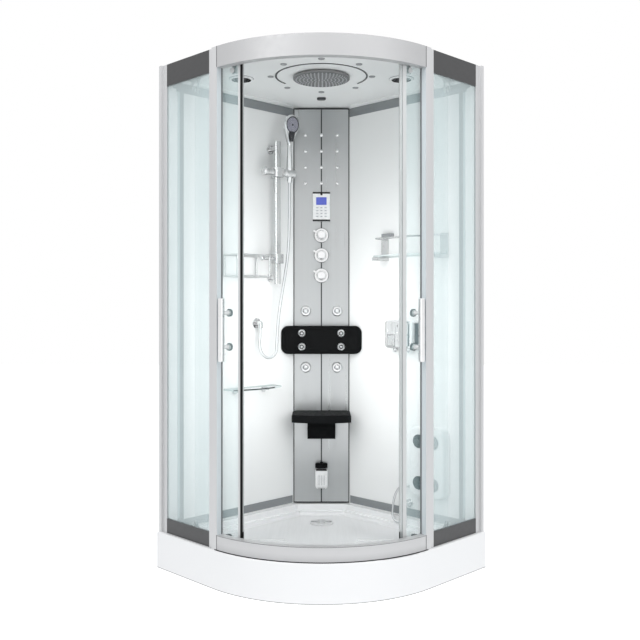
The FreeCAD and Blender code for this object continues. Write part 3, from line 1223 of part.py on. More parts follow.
# ---------------------------------------------------------------- doors
HANDLE_Z, HANDLE_LEN_BAR, HANDLE_R, HANDLE_FIX = 1029.0, 250.0, 9.0, 68.0
HANDLE_STAND = 34.0
CLAMP_W, CLAMP_H = 26.0, 24.0
GUIDE_W, GUIDE_H = 22.0, 34.0
LOWER_GUIDE_PHIS = (SEAL_PHI + 6.6, TAIL_PHI - 4.0)


def door_glass():
    """Curved pane of the right door, with holes for the handle and the hangers."""
    r0, r1 = DOOR_R - GLASS_T / 2, DOOR_R + GLASS_T / 2
    pane = sector(r0, r1, DOOR_Z0, DOOR_Z1, GLASS_PHI, TAIL_PHI)
    holes = [at_phi(rod(7, (0, AXIS_Y - r0 + 5, HANDLE_Z + dz), (0, AXIS_Y - r1 - 5, HANDLE_Z + dz)),
                    HANDLE_PHI) for dz in (-HANDLE_FIX, HANDLE_FIX)]
    holes += [at_phi(rod(6, (0, AXIS_Y - r0 + 5, HANG_Z), (0, AXIS_Y - r1 - 5, HANG_Z)), phi)
              for phi in (LEAD_WHEEL_PHI, TRAIL_WHEEL_PHI)]
    return cut(pane, holes)


HANG_Z = DOOR_Z1 - 30.0


def door_handle():
    """Bar handle outside the glass, its two studs and the round fixings inside."""
    y_in = AXIS_Y - DOOR_R + GLASS_T / 2
    y_out = AXIS_Y - DOOR_R - GLASS_T / 2
    y_bar = y_out - HANDLE_STAND
    half = HANDLE_LEN_BAR / 2
    grip = rounded(2 * HANDLE_R, 2 * HANDLE_R - 3, 6)
    grip.translate(V(0, y_bar, 0))
    grip = raised(grip, HANDLE_Z - half, HANDLE_Z + half)
    parts = [grip]
    for dz in (-HANDLE_FIX, HANDLE_FIX):
        z = HANDLE_Z + dz
        parts.append(rod(7, (0, y_bar, z), (0, y_out - GLASS_PAD, z)))
        parts.append(rod(6.5, (0, y_out - 2, z), (0, y_in + 2, z)))
        parts.append(rod(12, (0, y_in + GLASS_PAD, z), (0, y_in + 9, z)))
        parts.append(rod(10, (0, y_out - GLASS_PAD, z), (0, y_out - 4, z)))
    return at_phi(fused(parts), HANDLE_PHI)


def hanger(phi):
    """Hanger plate bolted through the glass, with the wheel's axle."""
    y_in = AXIS_Y - DOOR_R + GLASS_T / 2
    y_out = AXIS_Y - DOOR_R - GLASS_T / 2
    y_plate = AXIS_Y - HANGER_R
    half = CLAMP_W / 2
    plate = box(-half, half, y_plate, y_plate + HANGER_T, HANG_Z - CLAMP_H / 2, WHEEL_Z + 8)
    foot = box(-half + 1, half - 1, y_in + GLASS_PAD, y_plate + 1, HANG_Z - CLAMP_H / 2,
               HANG_Z + CLAMP_H / 2)
    bolt = rod(5.5, (0, y_plate + 2, HANG_Z), (0, y_out - 4, HANG_Z))
    disc = rod(11, (0, y_out - GLASS_PAD, HANG_Z), (0, y_out - 4, HANG_Z))
    axle = rod(AXLE_R, (0, y_plate + 1, WHEEL_Z), (0, AXIS_Y - DOOR_R - WHEEL_W / 2 - 1, WHEEL_Z))
    return at_phi(fused([plate, foot, bolt, disc, axle]), phi)


def wheel(phi):
    """Grooved nylon wheel on a hanger's axle."""
    half = WHEEL_W / 2
    y = AXIS_Y - DOOR_R
    body = turned([(AXLE_R + TURN_GAP, -half), (WHEEL_R, -half), (WHEEL_R, half),
                   (WHEEL_R - 4, half), (WHEEL_R - 5, half - 1), (AXLE_R + 2, half - 1),
                   (AXLE_R + 2, half), (AXLE_R + TURN_GAP, half)], (0, y, WHEEL_Z), "front")
    return at_phi(body, phi)


def guide(phi):
    """Guide block under the glass, running in the lower channel."""
    r0, r1 = DOOR_R - 7, DOOR_R + 7
    half = math.degrees(GUIDE_W / 2 / DOOR_R)
    low = TRAY_H + SECTION_T + SEAT_GAP + 2
    block = sector(r0, r1, low, low + GUIDE_H, phi - half, phi + half)
    slot = sector(DOOR_R - GLASS_T / 2 - GLASS_PAD, DOOR_R + GLASS_T / 2 + GLASS_PAD,
                  DOOR_Z0 - GLASS_PAD, low + GUIDE_H + 1,
                  phi - half - 1, phi + half + 1)
    return block.cut(slot)


def door_seal():
    """Strip along the leading edge, which meets the other door's strip."""
    r0, r1 = DOOR_R - GLASS_T / 2, DOOR_R + GLASS_T / 2
    jaw = sector(r0 - 2, r1 + 2, DOOR_Z0, DOOR_Z1, GLASS_PHI - 0.5, GLASS_PHI + 1.0)
    pane = sector(r0, r1, DOOR_Z0 - 1, DOOR_Z1 + 1, GLASS_PHI, GLASS_PHI + 2)
    nose = sector(r0 + 0.5, r1 - 0.5, DOOR_Z0, DOOR_Z1, SEAL_PHI, GLASS_PHI - 0.4)
    return fused([jaw.cut(pane), nose])


def door_fittings():
    """Hangers with their axles, lower guide blocks and the strip on the leading edge."""
    return group([hanger(LEAD_WHEEL_PHI), hanger(TRAIL_WHEEL_PHI), door_seal()]
                 + [guide(phi) for phi in LOWER_GUIDE_PHIS])


def door_nodes():
    right = {"door_glass": door_glass(), "door_handle": door_handle(),
             "door_fittings": door_fittings(), "lead_wheel": wheel(LEAD_WHEEL_PHI),
             "trail_wheel": wheel(TRAIL_WHEEL_PHI)}
    nodes = {"right_" + name: shape for name, shape in right.items()}
    nodes.update({"left_" + name: mirrored(shape) for name, shape in right.items()})
    return nodes


# ---------------------------------------------------------------- the cabin
def build():
    nodes = {
        "shower_tray": shower_tray(), "tray_frame": tray_frame(),
        "levelling_feet": levelling_feet(), "waste_trap": waste_trap(),
        "drain_cover": drain_cover(),
        "left_wall_panel": wall_panel("left"), "right_wall_panel": wall_panel("right"),
        "frame_posts": frame_posts(), "front_header": front_header(),
        "front_threshold": front_threshold(), "door_tracks": door_tracks(),
        "side_glass": side_glass(), "side_infill_panels": side_infill_panels(),
        "wall_trims": wall_trims(),
        "column_panels": column_panels(), "mini_jets": mini_jets(), "body_jets": body_jets(),
        "back_pad": back_pad(), "control_panel": control_panel(), "knob_plates": knob_plates(),
        "mixer_valve": mixer_valve(), "steam_generator": steam_generator(),
        "steam_outlet": steam_outlet(), "steam_cap": steam_cap(),
        "seat": seat(), "seat_bracket": seat_bracket(),
        "roof_panel": roof_panel(), "rain_head": rain_head(), "fan_housing": fan_housing(),
        "fan_rotor": fan_rotor(), "speaker_unit": speaker_unit(),
        "ceiling_lamps": ceiling_lamps(),
        "slide_bar": slide_bar(), "slider": slider(), "slider_knob": slider_knob(),
        "handset": handset(), "hose_outlets": hose_outlets(), "soap_basket": soap_basket(),
        "shelf_glasses": shelf_glasses(), "shelf_fittings": shelf_fittings(),
        "soap_dispenser": soap_dispenser(), "foot_massager": foot_massager(),
        "massage_discs": massage_discs(),
        "handset_hose": hose("handset_hose", "left", HANDSET_HOSE, HANDSET_HOSE_D),
        "foot_hose": hose("foot_hose", "right", FOOT_HOSE, FOOT_HOSE_D),
    }
    for (name, z), pointer in zip(KNOB_Z.items(), (60, 60, 60)):
        nodes[name] = knob(z, pointer)
    for name, w in lever_places().items():
        nodes[name] = soap_lever(w)
    nodes.update(door_nodes())
    return nodes


os.makedirs(PARTS, exist_ok=True)
for node, shape in build().items():
    if not shape.isValid():
        print("not valid:", node)
    shape.exportStep(PARTS + "/" + node + ".step")
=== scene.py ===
"""Looks of the steam shower cabin: camera, light, materials and the modelled details.

Metres, in the cabin's own frame: +Z up, +Y towards the back corner, -Y towards the doors.
"""
import math

import bmesh
import bpy
from mathutils import Matrix, Vector


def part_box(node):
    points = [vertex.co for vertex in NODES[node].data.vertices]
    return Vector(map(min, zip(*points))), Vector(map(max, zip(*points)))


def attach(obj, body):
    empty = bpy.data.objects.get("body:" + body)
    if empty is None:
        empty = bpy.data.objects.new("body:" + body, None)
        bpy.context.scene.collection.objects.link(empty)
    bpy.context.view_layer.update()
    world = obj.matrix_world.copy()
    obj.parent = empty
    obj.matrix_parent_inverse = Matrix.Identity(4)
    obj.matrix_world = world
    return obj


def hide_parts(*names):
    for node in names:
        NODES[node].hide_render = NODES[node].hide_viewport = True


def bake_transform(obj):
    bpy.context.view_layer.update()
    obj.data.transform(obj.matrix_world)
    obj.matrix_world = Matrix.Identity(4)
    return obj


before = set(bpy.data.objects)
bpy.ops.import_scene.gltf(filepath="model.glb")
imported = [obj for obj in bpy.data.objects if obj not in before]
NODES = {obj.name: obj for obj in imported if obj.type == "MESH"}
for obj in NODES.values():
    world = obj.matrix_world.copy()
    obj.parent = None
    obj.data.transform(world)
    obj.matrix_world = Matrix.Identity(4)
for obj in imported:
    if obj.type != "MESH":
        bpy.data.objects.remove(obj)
bpy.context.scene.view_settings.view_transform = "Standard"
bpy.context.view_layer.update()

# ---------------- sizes shared with the cabin
MM = 0.001
ROOT2 = math.sqrt(2)
ACROSS, DEEP, UP = Vector((1, 0, 0)), Vector((0, 1, 0)), Vector((0, 0, 1))
SIDE, STRAIGHT = 1.000, 0.390
FRONT_R = SIDE - STRAIGHT
CORNER_Y = (STRAIGHT * ROOT2 + FRONT_R) / 2
AXIS_Y = CORNER_Y - STRAIGHT * ROOT2
COLUMN_Y = CORNER_Y - 0.201
WALL_FACE = 0.045
TRAY_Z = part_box("shower_tray")[1].z
CEILING_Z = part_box("roof_panel")[0].z
RAIN_Y = CORNER_Y - 0.757
UNIT_X, UNIT_Y = 0.343, CORNER_Y - 0.720
DOOR_R = 0.560


# ---------------- camera, floor and light
PHOTO_SIZE = 640
FOCAL_PX = 835.0
CENTRE_PX = (321.4, 305.3)
CAMERA_Y = CORNER_Y - 4.300
CAMERA_Z = 1.127


def make_camera():
    data = bpy.data.cameras.new("photo_camera")
    data.sensor_width = 36.0
    data.lens = FOCAL_PX / PHOTO_SIZE * data.sensor_width
    half = PHOTO_SIZE / 2
    data.shift_x = (half - CENTRE_PX[0]) / PHOTO_SIZE
    data.shift_y = (CENTRE_PX[1] - half) / PHOTO_SIZE
    data.clip_end = 60.0
    camera = bpy.data.objects.new("photo_camera", data)
    camera.location = (0.0, CAMERA_Y, CAMERA_Z)
    camera.rotation_euler = (math.radians(90), 0.0, 0.0)
    bpy.context.scene.collection.objects.link(camera)
    bpy.context.scene.camera = camera


def seen_rays(nodes, links):
    """1 for rays from the camera, off a glossy surface or through glass, 0 for light."""
    path = nodes.new("ShaderNodeLightPath")
    total = path.outputs["Is Camera Ray"]
    for kind in ("Is Glossy Ray", "Is Transmission Ray"):
        either = nodes.new("ShaderNodeMath")
        either.operation = "MAXIMUM"
        links.new(total, either.inputs[0])
        links.new(path.outputs[kind], either.inputs[1])
        total = either.outputs[0]
    return total


def make_world():
    world = bpy.data.worlds.new("studio")
    bpy.context.scene.world = world
    world.use_nodes = True
    nodes, links = world.node_tree.nodes, world.node_tree.links
    nodes.clear()
    room = nodes.new("ShaderNodeBackground")
    room.inputs["Color"].default_value = (0.86, 0.88, 0.90, 1)
    room.inputs["Strength"].default_value = 0.75
    white = nodes.new("ShaderNodeBackground")
    white.inputs["Color"].default_value = (1, 1, 1, 1)
    mix = nodes.new("ShaderNodeMixShader")
    links.new(seen_rays(nodes, links), mix.inputs[0])
    links.new(room.outputs[0], mix.inputs[1])
    links.new(white.outputs[0], mix.inputs[2])
    out = nodes.new("ShaderNodeOutputWorld")
    links.new(mix.outputs[0], out.inputs["Surface"])


def softbox(name, place, aim, size, power, seen=True):
    data = bpy.data.lights.new(name, "AREA")
    data.shape = "RECTANGLE"
    data.size, data.size_y = size
    data.energy = power
    lamp = bpy.data.objects.new(name, data)
    lamp.visible_camera = lamp.visible_glossy = seen
    lamp.location = place
    lamp.rotation_euler = (Vector(aim) - Vector(place)).to_track_quat("-Z", "Y").to_euler()
    bpy.context.scene.collection.objects.link(lamp)


def make_floor():
    mesh = bpy.data.meshes.new("studio_floor")
    half = 12.0
    corners = [(-half, -half, 0), (half, -half, 0), (half, half, 0), (-half, half, 0)]
    mesh.from_pydata(corners, [], [(0, 1, 2, 3)])
    floor = bpy.data.objects.new("studio_floor", mesh)
    bpy.context.scene.collection.objects.link(floor)
    material = bpy.data.materials.new("studio_floor")
    material.use_nodes = True
    nodes, links = material.node_tree.nodes, material.node_tree.links
    nodes.clear()
    diffuse = nodes.new("ShaderNodeBsdfDiffuse")
    diffuse.inputs["Color"].default_value = (0.93, 0.93, 0.93, 1)
    glow = nodes.new("ShaderNodeEmission")
    glow.inputs["Strength"].default_value = 0.62
    nothing = nodes.new("ShaderNodeEmission")
    nothing.inputs["Strength"].default_value = 0.0
    pick = nodes.new("ShaderNodeMixShader")
    links.new(seen_rays(nodes, links), pick.inputs[0])
    links.new(nothing.outputs[0], pick.inputs[1])
    links.new(glow.outputs[0], pick.inputs[2])
    add = nodes.new("ShaderNodeAddShader")
    links.new(diffuse.outputs[0], add.inputs[0])
    links.new(pick.outputs[0], add.inputs[1])
    out = nodes.new("ShaderNodeOutputMaterial")
    links.new(add.outputs[0], out.inputs["Surface"])
    mesh.materials.append(material)


make_camera()
make_world()
make_floor()
softbox("key_left", (-2.6, -3.6, 3.2), (0, 0, 1.2), (2.2, 2.6), 42)
softbox("fill_right", (2.8, -3.2, 2.0), (0, 0, 1.0), (2.0, 2.4), 32)
softbox("overhead", (0.0, -1.6, 3.6), (0, 0, 0.6), (2.4, 1.6), 26)
softbox("inside", (0.0, -0.30, 1.02), (0, 0.6, 1.02), (0.5, 0.8), 3.8, seen=False)


# ---------------- materials
class Finish:
    """A node material round one Principled shader, in the object's own coordinates."""

    def __init__(self, name, color, rough, **sockets):
        self.material = bpy.data.materials.new(name)
        self.material.use_nodes = True
        self.tree = self.material.node_tree
        self.shader = self.tree.nodes["Principled BSDF"]
        self.put("Base Color", (*color, 1.0))
        self.put("Roughness", rough)
        for socket, value in sockets.items():
            self.put(socket.replace("_", " "), value)
        self.color = color
        self.coords = self.node("ShaderNodeTexCoord").outputs["Object"]

    def put(self, socket, value):
        self.shader.inputs[socket].default_value = value

    def node(self, kind, **values):
        node = self.tree.nodes.new(kind)
        for key, value in values.items():
            setattr(node, key, value)
        return node

    def link(self, a, b):
        self.tree.links.new(a, b)

    def stretched(self, scale):
        mapping = self.node("ShaderNodeMapping")
        mapping.inputs["Scale"].default_value = scale
        self.link(self.coords, mapping.inputs["Vector"])
        return mapping.outputs[0]

    def noise(self, scale, detail=3.0, stretch=(1, 1, 1), rough=0.5):
        noise = self.node("ShaderNodeTexNoise")
        noise.inputs["Scale"].default_value = scale
        noise.inputs["Detail"].default_value = detail
        noise.inputs["Roughness"].default_value = rough
        self.link(self.stretched(stretch), noise.inputs["Vector"])
        return noise.outputs["Fac"]

    def spread(self, source, low, high, start=0.3, end=0.7):
        ranges = self.node("ShaderNodeMapRange")
        for key, value in (("From Min", start), ("From Max", end), ("To Min", low), ("To Max", high)):
            ranges.inputs[key].default_value = value
        self.link(source, ranges.inputs["Value"])
        return ranges.outputs[0]

    def tint(self, source, amount, start=0.3, end=0.7):
        """Base colour that varies by a share of itself."""
        mix = self.node("ShaderNodeMix", data_type="RGBA")
        dark = [c * (1 - amount) for c in self.color]
        mix.inputs["A"].default_value = (*dark, 1)
        mix.inputs["B"].default_value = (*self.color, 1)
        self.link(self.spread(source, 0, 1, start, end), mix.inputs["Factor"])
        self.link(mix.outputs["Result"], self.shader.inputs["Base Color"])
        return self

    def part(self, source, axis):
        split = self.node("ShaderNodeSeparateXYZ")
        self.link(source, split.inputs[0])
        return split.outputs[axis]

    def at(self, axis):
        """Place along an axis, in metres."""
        return self.part(self.coords, axis)

    def facing(self, axis):
        """Share of the surface's normal along an axis."""
        return self.part(self.node("ShaderNodeNewGeometry").outputs["Normal"], axis)

    def math(self, operation, a, b=0.0):
        node = self.node("ShaderNodeMath", operation=operation)
        for socket, value in zip(node.inputs, (a, b)):
            if isinstance(value, (int, float)):
                socket.default_value = value
            else:
                self.link(value, socket)
        return node.outputs[0]

    def paint(self, factor, color):
        """Over what the base colour is so far, another colour where the factor is 1."""
        socket = self.shader.inputs["Base Color"]
        mix = self.node("ShaderNodeMix", data_type="RGBA")
        mix.inputs["A"].default_value = (*self.color, 1)
        if socket.is_linked:
            self.link(socket.links[0].from_socket, mix.inputs["A"])
        mix.inputs["B"].default_value = (*color, 1)
        self.link(factor, mix.inputs["Factor"])
        self.link(mix.outputs["Result"], socket)
        return self

    def flags(self, color, start=0.55, end=0.98):
        """Painted reflection: faces to the sides and below painted darker, for the dark studio that polished
        metal reflects there.
        """
        side = self.math("ABSOLUTE", self.facing("X"))
        under = self.math("MULTIPLY", self.facing("Z"), -1.0)
        look = self.math("MAXIMUM", side, under)
        return self.paint(self.spread(look, 0, 1, start, end), color)

    def from_axis(self, y, x=0.0):
        """Distance from the vertical lines at x and -x and a given y."""
        dx = self.math("SUBTRACT", self.math("ABSOLUTE", self.at("X")), x)
        x2 = self.math("POWER", self.math("ABSOLUTE", dx), 2.0)
        dy = self.math("SUBTRACT", self.at("Y"), y)
        y2 = self.math("POWER", self.math("ABSOLUTE", dy), 2.0)
        return self.math("SQRT", self.math("ADD", x2, y2))

    def roughen(self, source, low, high):
        self.link(self.spread(source, low, high), self.shader.inputs["Roughness"])
        return self

    def bump(self, source, depth, strength=1.0):
        bump = self.node("ShaderNodeBump")
        bump.inputs["Distance"].default_value = depth
        bump.inputs["Strength"].default_value = strength
        self.link(source, bump.inputs["Height"])
        self.link(bump.outputs[0], self.shader.inputs["Normal"])
        return self


def acrylic(name, color, rough, coat=0.25):
    finish = Finish(name, color, rough, Coat_Weight=coat, Coat_Roughness=0.12)
    finish.tint(finish.noise(1.2, 1.0), 0.012)
    finish.roughen(finish.noise(5.0, 2.0), rough * 0.92, rough * 1.08)
    return finish.bump(finish.noise(900.0, 2.0), 0.00002, 0.2)


def brushed(name, color, rough, grain, metallic=1.0, depth=0.00005, contrast=0.05):
    """Metal with fine lines along the axis where grain is small."""
    finish = Finish(name, color, rough, Metallic=metallic)
    lines = finish.noise(60.0, 3.0, grain)
    finish.tint(lines, contrast, 0.35, 0.65)
    finish.roughen(lines, rough * 0.8, rough * 1.25)
    return finish.bump(lines, depth, 0.6)


def chrome(name, color=(0.90, 0.905, 0.91), rough=0.2, dark=0.22, metallic=1.0):
    finish = Finish(name, color, rough, Metallic=metallic)
    # Painted reflection on every chrome finish: sides and undersides darkened to a share of the colour.
    finish.flags([c * dark for c in color])
    return finish.roughen(finish.noise(40.0, 3.0), rough * 0.8, rough * 1.3)


def plastic(name, color, rough, pebble=0.0, scale=900.0, shine=0.5):
    finish = Finish(name, color, rough, Specular_IOR_Level=shine)
    finish.tint(finish.noise(14.0, 3.0), 0.04)
    finish.roughen(finish.noise(60.0, 3.0), rough * 0.85, rough * 1.15)
    if pebble:
        finish.bump(finish.noise(scale, 2.0), pebble, 0.8)
    return finish


def glass(name, color, alpha):
    finish = Finish(name, color, 0.03, Alpha=alpha, Specular_IOR_Level=0.8)
    finish.roughen(finish.noise(3.0, 2.0), 0.02, 0.05)
    finish.material.surface_render_method = "BLENDED"
    return finish


ALONG_Z, ALONG_X = (1, 1, 0.01), (0.01, 1, 1)
WALL = acrylic("white_wall", (0.86, 0.865, 0.86), 0.42, 0.0)
SILVER_FLAT = brushed("satin_aluminium_level", (0.475, 0.475, 0.48), 0.46, (1, 1, 1), 0.3, 0.000004, 0.012)
INFILL = brushed("dark_infill", (0.062, 0.062, 0.064), 0.4, ALONG_X, 0.3)
TRIM = brushed("grey_trim", (0.31, 0.325, 0.335), 0.38, ALONG_X, 0.6)
COLUMN = brushed("column_aluminium", (0.53, 0.545, 0.55), 0.33, ALONG_Z, 0.85, contrast=0.035)
CHROME = chrome("chrome")
PLATED = chrome("plated_plastic", (0.92, 0.92, 0.925), 0.3, 0.4)
BLACK = plastic("soft_black", (0.0055, 0.006, 0.0065), 0.6, 0.0001, shine=0.07)
WHITE = plastic("gloss_white", (0.84, 0.84, 0.84), 0.28)
RUBBER = plastic("grey_rubber", (0.022, 0.024, 0.026), 0.6, 0.0002)
RAIN = plastic("rain_grey", (0.15, 0.152, 0.155), 0.45)
FAN = plastic("fan_black", (0.015, 0.015, 0.015), 0.5)
NYLON = plastic("dark_nylon", (0.02, 0.02, 0.02), 0.45)
GALVANISED = brushed("galvanised", (0.45, 0.47, 0.48), 0.5, (1, 1, 1), 0.8)
PIPE = plastic("pipe_white", (0.7, 0.7, 0.7), 0.45)
BRASS = brushed("brass", (0.62, 0.45, 0.17), 0.3, (1, 1, 1))
BOILER = brushed("boiler_steel", (0.5, 0.5, 0.5), 0.35, ALONG_X)
PANE = glass("clear_glass", (0.72, 0.93, 0.94), 0.15)
SIDE_PANE = glass("side_glass", (0.84, 0.965, 0.975), 0.26)
SHELF_PANE = glass("shelf_glass", (0.60, 0.66, 0.66), 0.14)
POST = brushed("post_aluminium", (0.61, 0.61, 0.615), 0.46, ALONG_Z, 0.3, 0.00001, 0.02)
FLANK = brushed("flank_aluminium", (0.61, 0.61, 0.615), 0.46, ALONG_Z, 0.3, 0.00001, 0.02)
SILVER_LOW = brushed("satin_aluminium_low", (0.56, 0.56, 0.565), 0.46, (1, 1, 1), 0.3, 0.000004, 0.012)
DRAIN = acrylic("drain_white", (0.62, 0.62, 0.625), 0.3)
DOOR_METAL = brushed("door_fitting", (0.58, 0.59, 0.59), 0.4, (1, 1, 1), 0.3)
TRAY = acrylic("tray_acrylic", (0.90, 0.90, 0.905), 0.24)
SOAP_CHROME = chrome("soap_chrome", (0.95, 0.955, 0.96), 0.22, 0.12, 0.62)
LAMPS = plastic("lamp_rims", (0.30, 0.305, 0.31), 0.4)
GRILLES = plastic("grille_white", (0.84, 0.84, 0.84), 0.3)


def band(finish, source, low, high, blur=0.001):
    """1 between two places, 0 outside them."""
    rise = finish.spread(source, 0, 1, low, low + blur)
    return finish.math("MULTIPLY", rise, finish.spread(source, 1, 0, high, high + blur))


BLACK_LINE = (0.035, 0.036, 0.038)


def frame_colours():
    """Painted light on the posts' inner flank, the doors' black lower guides, the upright trims, and painted
    shade at the foot of the threshold.
    """
    radius = POST.from_axis(AXIS_Y)
    # Painted light: the posts' inner flank is painted a paler, bluer grey than the post.
    POST.paint(POST.spread(radius, 1, 0, 0.6030, 0.6036), (0.66, 0.70, 0.725))
    height = DOOR_METAL.at("Z")
    DOOR_METAL.paint(DOOR_METAL.spread(height, 1, 0, 0.235, 0.240), (0.006, 0.006, 0.006))
    out = TRIM.spread(TRIM.math("ABSOLUTE", TRIM.at("X")), 0, 1, 0.612, 0.616)
    upright = band(TRIM, TRIM.at("Z"), 0.205, 2.050, 0.003)
    TRIM.paint(TRIM.math("MULTIPLY", out, upright), (0.60, 0.66, 0.68))
    # Painted shade: the threshold darkens towards its foot on the tray.
    height = SILVER_LOW.at("Z")
    threshold_painted_shade = SILVER_LOW.spread(height, 0.7, 0, TRAY_Z + 0.004, TRAY_Z + 0.030)
    SILVER_LOW.paint(threshold_painted_shade, (0.42, 0.42, 0.425))


def tray_colours():
    """Streaks of shine on the basin's floor, and the shadow line at the foot of the skirt."""
    height = TRAY.at("Z")
    floor = TRAY.spread(height, 1, 0, 0.118, 0.124)
    streaks = TRAY.spread(TRAY.noise(120.0, 1.0, (1, 0.05, 0.05)), 0.50, 0.62, 0.35, 0.65)
    floor = TRAY.math("MULTIPLY", floor, TRAY.spread(TRAY.facing("Z"), 0, 1, 0.3, 0.8))
    TRAY.paint(TRAY.math("MULTIPLY", floor, streaks), (0.70, 0.705, 0.71))
    TRAY.paint(TRAY.spread(height, 1, 0, 0.0028, 0.0032), (0.30, 0.30, 0.30))


def ceiling_colours():
    """Dark light ring and rear lamps, dark grilles, and painted light: the rain head's upper rim painted
    paler than its face.
    """
    arc = band(LAMPS, LAMPS.from_axis(RAIN_Y), 0.186, 0.199)
    back = LAMPS.spread(LAMPS.at("Y"), 0, 1, CORNER_Y - 0.408, CORNER_Y - 0.407)
    LAMPS.paint(LAMPS.math("MAXIMUM", arc, back), BLACK_LINE)
    inside = GRILLES.from_axis(UNIT_Y, UNIT_X)
    GRILLES.paint(GRILLES.spread(inside, 1, 0, 0.0415, 0.0422), BLACK_LINE)
    # Painted light: the rain head's side rim, under the ceiling, is painted paler than its face.
    rim = RAIN.spread(RAIN.at("Z"), 0, 1, CEILING_Z - 0.0135, CEILING_Z - 0.012)
    RAIN.paint(rim, (0.24, 0.24, 0.24))


def column_colours():
    """Painted shade: the column darker towards its head; and its paler panels to the sides of the seam."""
    across = COLUMN.math("ABSOLUTE", COLUMN.at("X"))
    # Painted shade: the column darkens towards its head, under the ceiling.
    COLUMN.paint(COLUMN.spread(COLUMN.at("Z"), 0, 0.5, 1.60, 2.05), (0.34, 0.355, 0.365))
    COLUMN.paint(COLUMN.spread(across, 0, 0.25, 0.02, 0.13), (0.62, 0.63, 0.63))


def shelf_alpha():
    """Shelves are clearer seen through the sheet than along its edges."""
    level = SHELF_PANE.math("ABSOLUTE", SHELF_PANE.facing("Z"))
    clear = SHELF_PANE.spread(level, 0.85, 0.10, 0.2, 0.9)
    SHELF_PANE.link(clear, SHELF_PANE.shader.inputs["Alpha"])


frame_colours()
tray_colours()
ceiling_colours()
column_colours()
shelf_alpha()

FINISHES = {
    "shower_tray": TRAY, "left_wall_panel": WALL, "right_wall_panel": WALL,
    "roof_panel": WALL, "frame_posts": POST, "front_header": SILVER_FLAT,
    "front_threshold": SILVER_LOW, "door_tracks": SILVER_FLAT,
    "side_infill_panels": INFILL, "wall_trims": TRIM, "side_glass": SIDE_PANE,
    "left_door_glass": PANE, "right_door_glass": PANE, "shelf_glasses": SHELF_PANE,
    "column_panels": COLUMN, "mini_jets": CHROME, "body_jets": PLATED,
    "knob_plates": CHROME, "slide_bar": CHROME, "soap_basket": CHROME,
    "shelf_fittings": CHROME, "hose_outlets": CHROME, "soap_dispenser": SOAP_CHROME,
    "left_soap_lever": PLATED, "right_soap_lever": PLATED, "flow_knob": PLATED,
    "temperature_knob": PLATED, "diverter_knob": PLATED, "slider": PLATED,
    "slider_knob": PLATED, "handset": PLATED, "ceiling_lamps": LAMPS, "back_pad": BLACK,
    "seat": BLACK, "steam_cap": BLACK, "control_panel": WHITE, "steam_outlet": WHITE,
    "foot_massager": WHITE, "fan_housing": GRILLES, "speaker_unit": GRILLES,
    "left_door_handle": WHITE, "right_door_handle": WHITE, "seat_bracket": BLACK,
    "massage_discs": RUBBER, "rain_head": RAIN, "fan_rotor": FAN,
    "left_door_fittings": DOOR_METAL, "right_door_fittings": DOOR_METAL, "left_lead_wheel": NYLON,
    "left_trail_wheel": NYLON, "right_lead_wheel": NYLON, "right_trail_wheel": NYLON,
    "tray_frame": GALVANISED, "levelling_feet": NYLON, "waste_trap": PIPE,
    "drain_cover": DRAIN, "mixer_valve": BRASS, "steam_generator": BOILER,
}
for node, finish in FINISHES.items():
    NODES[node].data.materials.clear()
    NODES[node].data.materials.append(finish.material)


# ---------------- hoses
def wall_point(side, w, o, z):
    """From wall coordinates in millimetres to the cabin's frame in metres."""
    sign = -1 if side == "left" else 1
    return Vector((sign * (w - o) / ROOT2 * MM, CORNER_Y - (w + o) / ROOT2 * MM, z * MM))


HANDSET_HOSE_D = 13.0
HANDSET_HOSE = [(330, 114, 1710.6), (330, 114, 1650), (330.5, 114.4, 1570), (333, 115, 1475),
                (339, 115.5, 1385), (355, 116, 1290), (378, 117, 1195), (397, 115, 1100),
                (406, 114, 1015), (408.5, 112, 955), (409, 111, 908), (434.7, 109, 882),
                (471, 105, 882), (496, 98, 908), (495, 86, 948), (480, 75, 982),
                (480, 75, 1020)]
FOOT_HOSE_D = 10.0
FOOT_HOSE = [(641, 78, 306), (612, 78, 306), (582, 80, 289), (563, 84, 256), (555, 88, 216),
             (553, 90, 182), (553, 91, 155), (572.5, 91, 135.5), (600, 89, 135.5),
             (619.5, 86, 155), (620, 80, 180), (620, 80, 206)]


def route_line(side, route):
    """Points along the hose's own smooth line, closely spaced."""
    curve = bpy.data.curves.new("route", "CURVE")
    curve.dimensions = "3D"
    curve.resolution_u = 24
    spline = curve.splines.new("NURBS")
    spline.points.add(len(route) - 1)
    for point, place in zip(spline.points, route):
        point.co = (*wall_point(side, *place), 1.0)
    spline.order_u = 3
    spline.use_endpoint_u = True
    holder = bpy.data.objects.new("route", curve)
    mesh = bpy.data.meshes.new_from_object(holder)
    line = [v.co.copy() for v in mesh.vertices]
    bpy.data.objects.remove(holder)
    bpy.data.meshes.remove(mesh)
    return line


def even_points(line, step):
    """The same line with points a fixed step apart."""
    points, carried = [line[0]], 0.0
    for a, b in zip(line, line[1:]):
        run = (b - a).length
        at = step - carried
        while at <= run:
            points.append(a.lerp(b, at / run))
            at += step
        carried = (carried + run) % step
    points.append(line[-1])
    return points


def join_rings(mesh, rings, ends=True):
    """Skin over rings of vertices: with a face on each end, or round to the first ring again."""
    following = rings[1:] if ends else rings[1:] + rings[:1]
    for a, b in zip(rings, following):
        n = len(a)
        for k in range(n):
            mesh.faces.new((a[k], a[(k + 1) % n], b[(k + 1) % n], b[k]))
    if ends:
        mesh.faces.new(rings[0][::-1])
        mesh.faces.new(rings[-1])


def circle(mesh, centre, u, v, radius, steps=32):
    """Vertices round a centre, in the plane of two vectors."""
    ring = []
    for k in range(steps):
        a = 2 * math.pi * k / steps
        offset = u * (radius * math.cos(a)) + v * (radius * math.sin(a))
        ring.append(mesh.verts.new(centre + offset))
    return ring


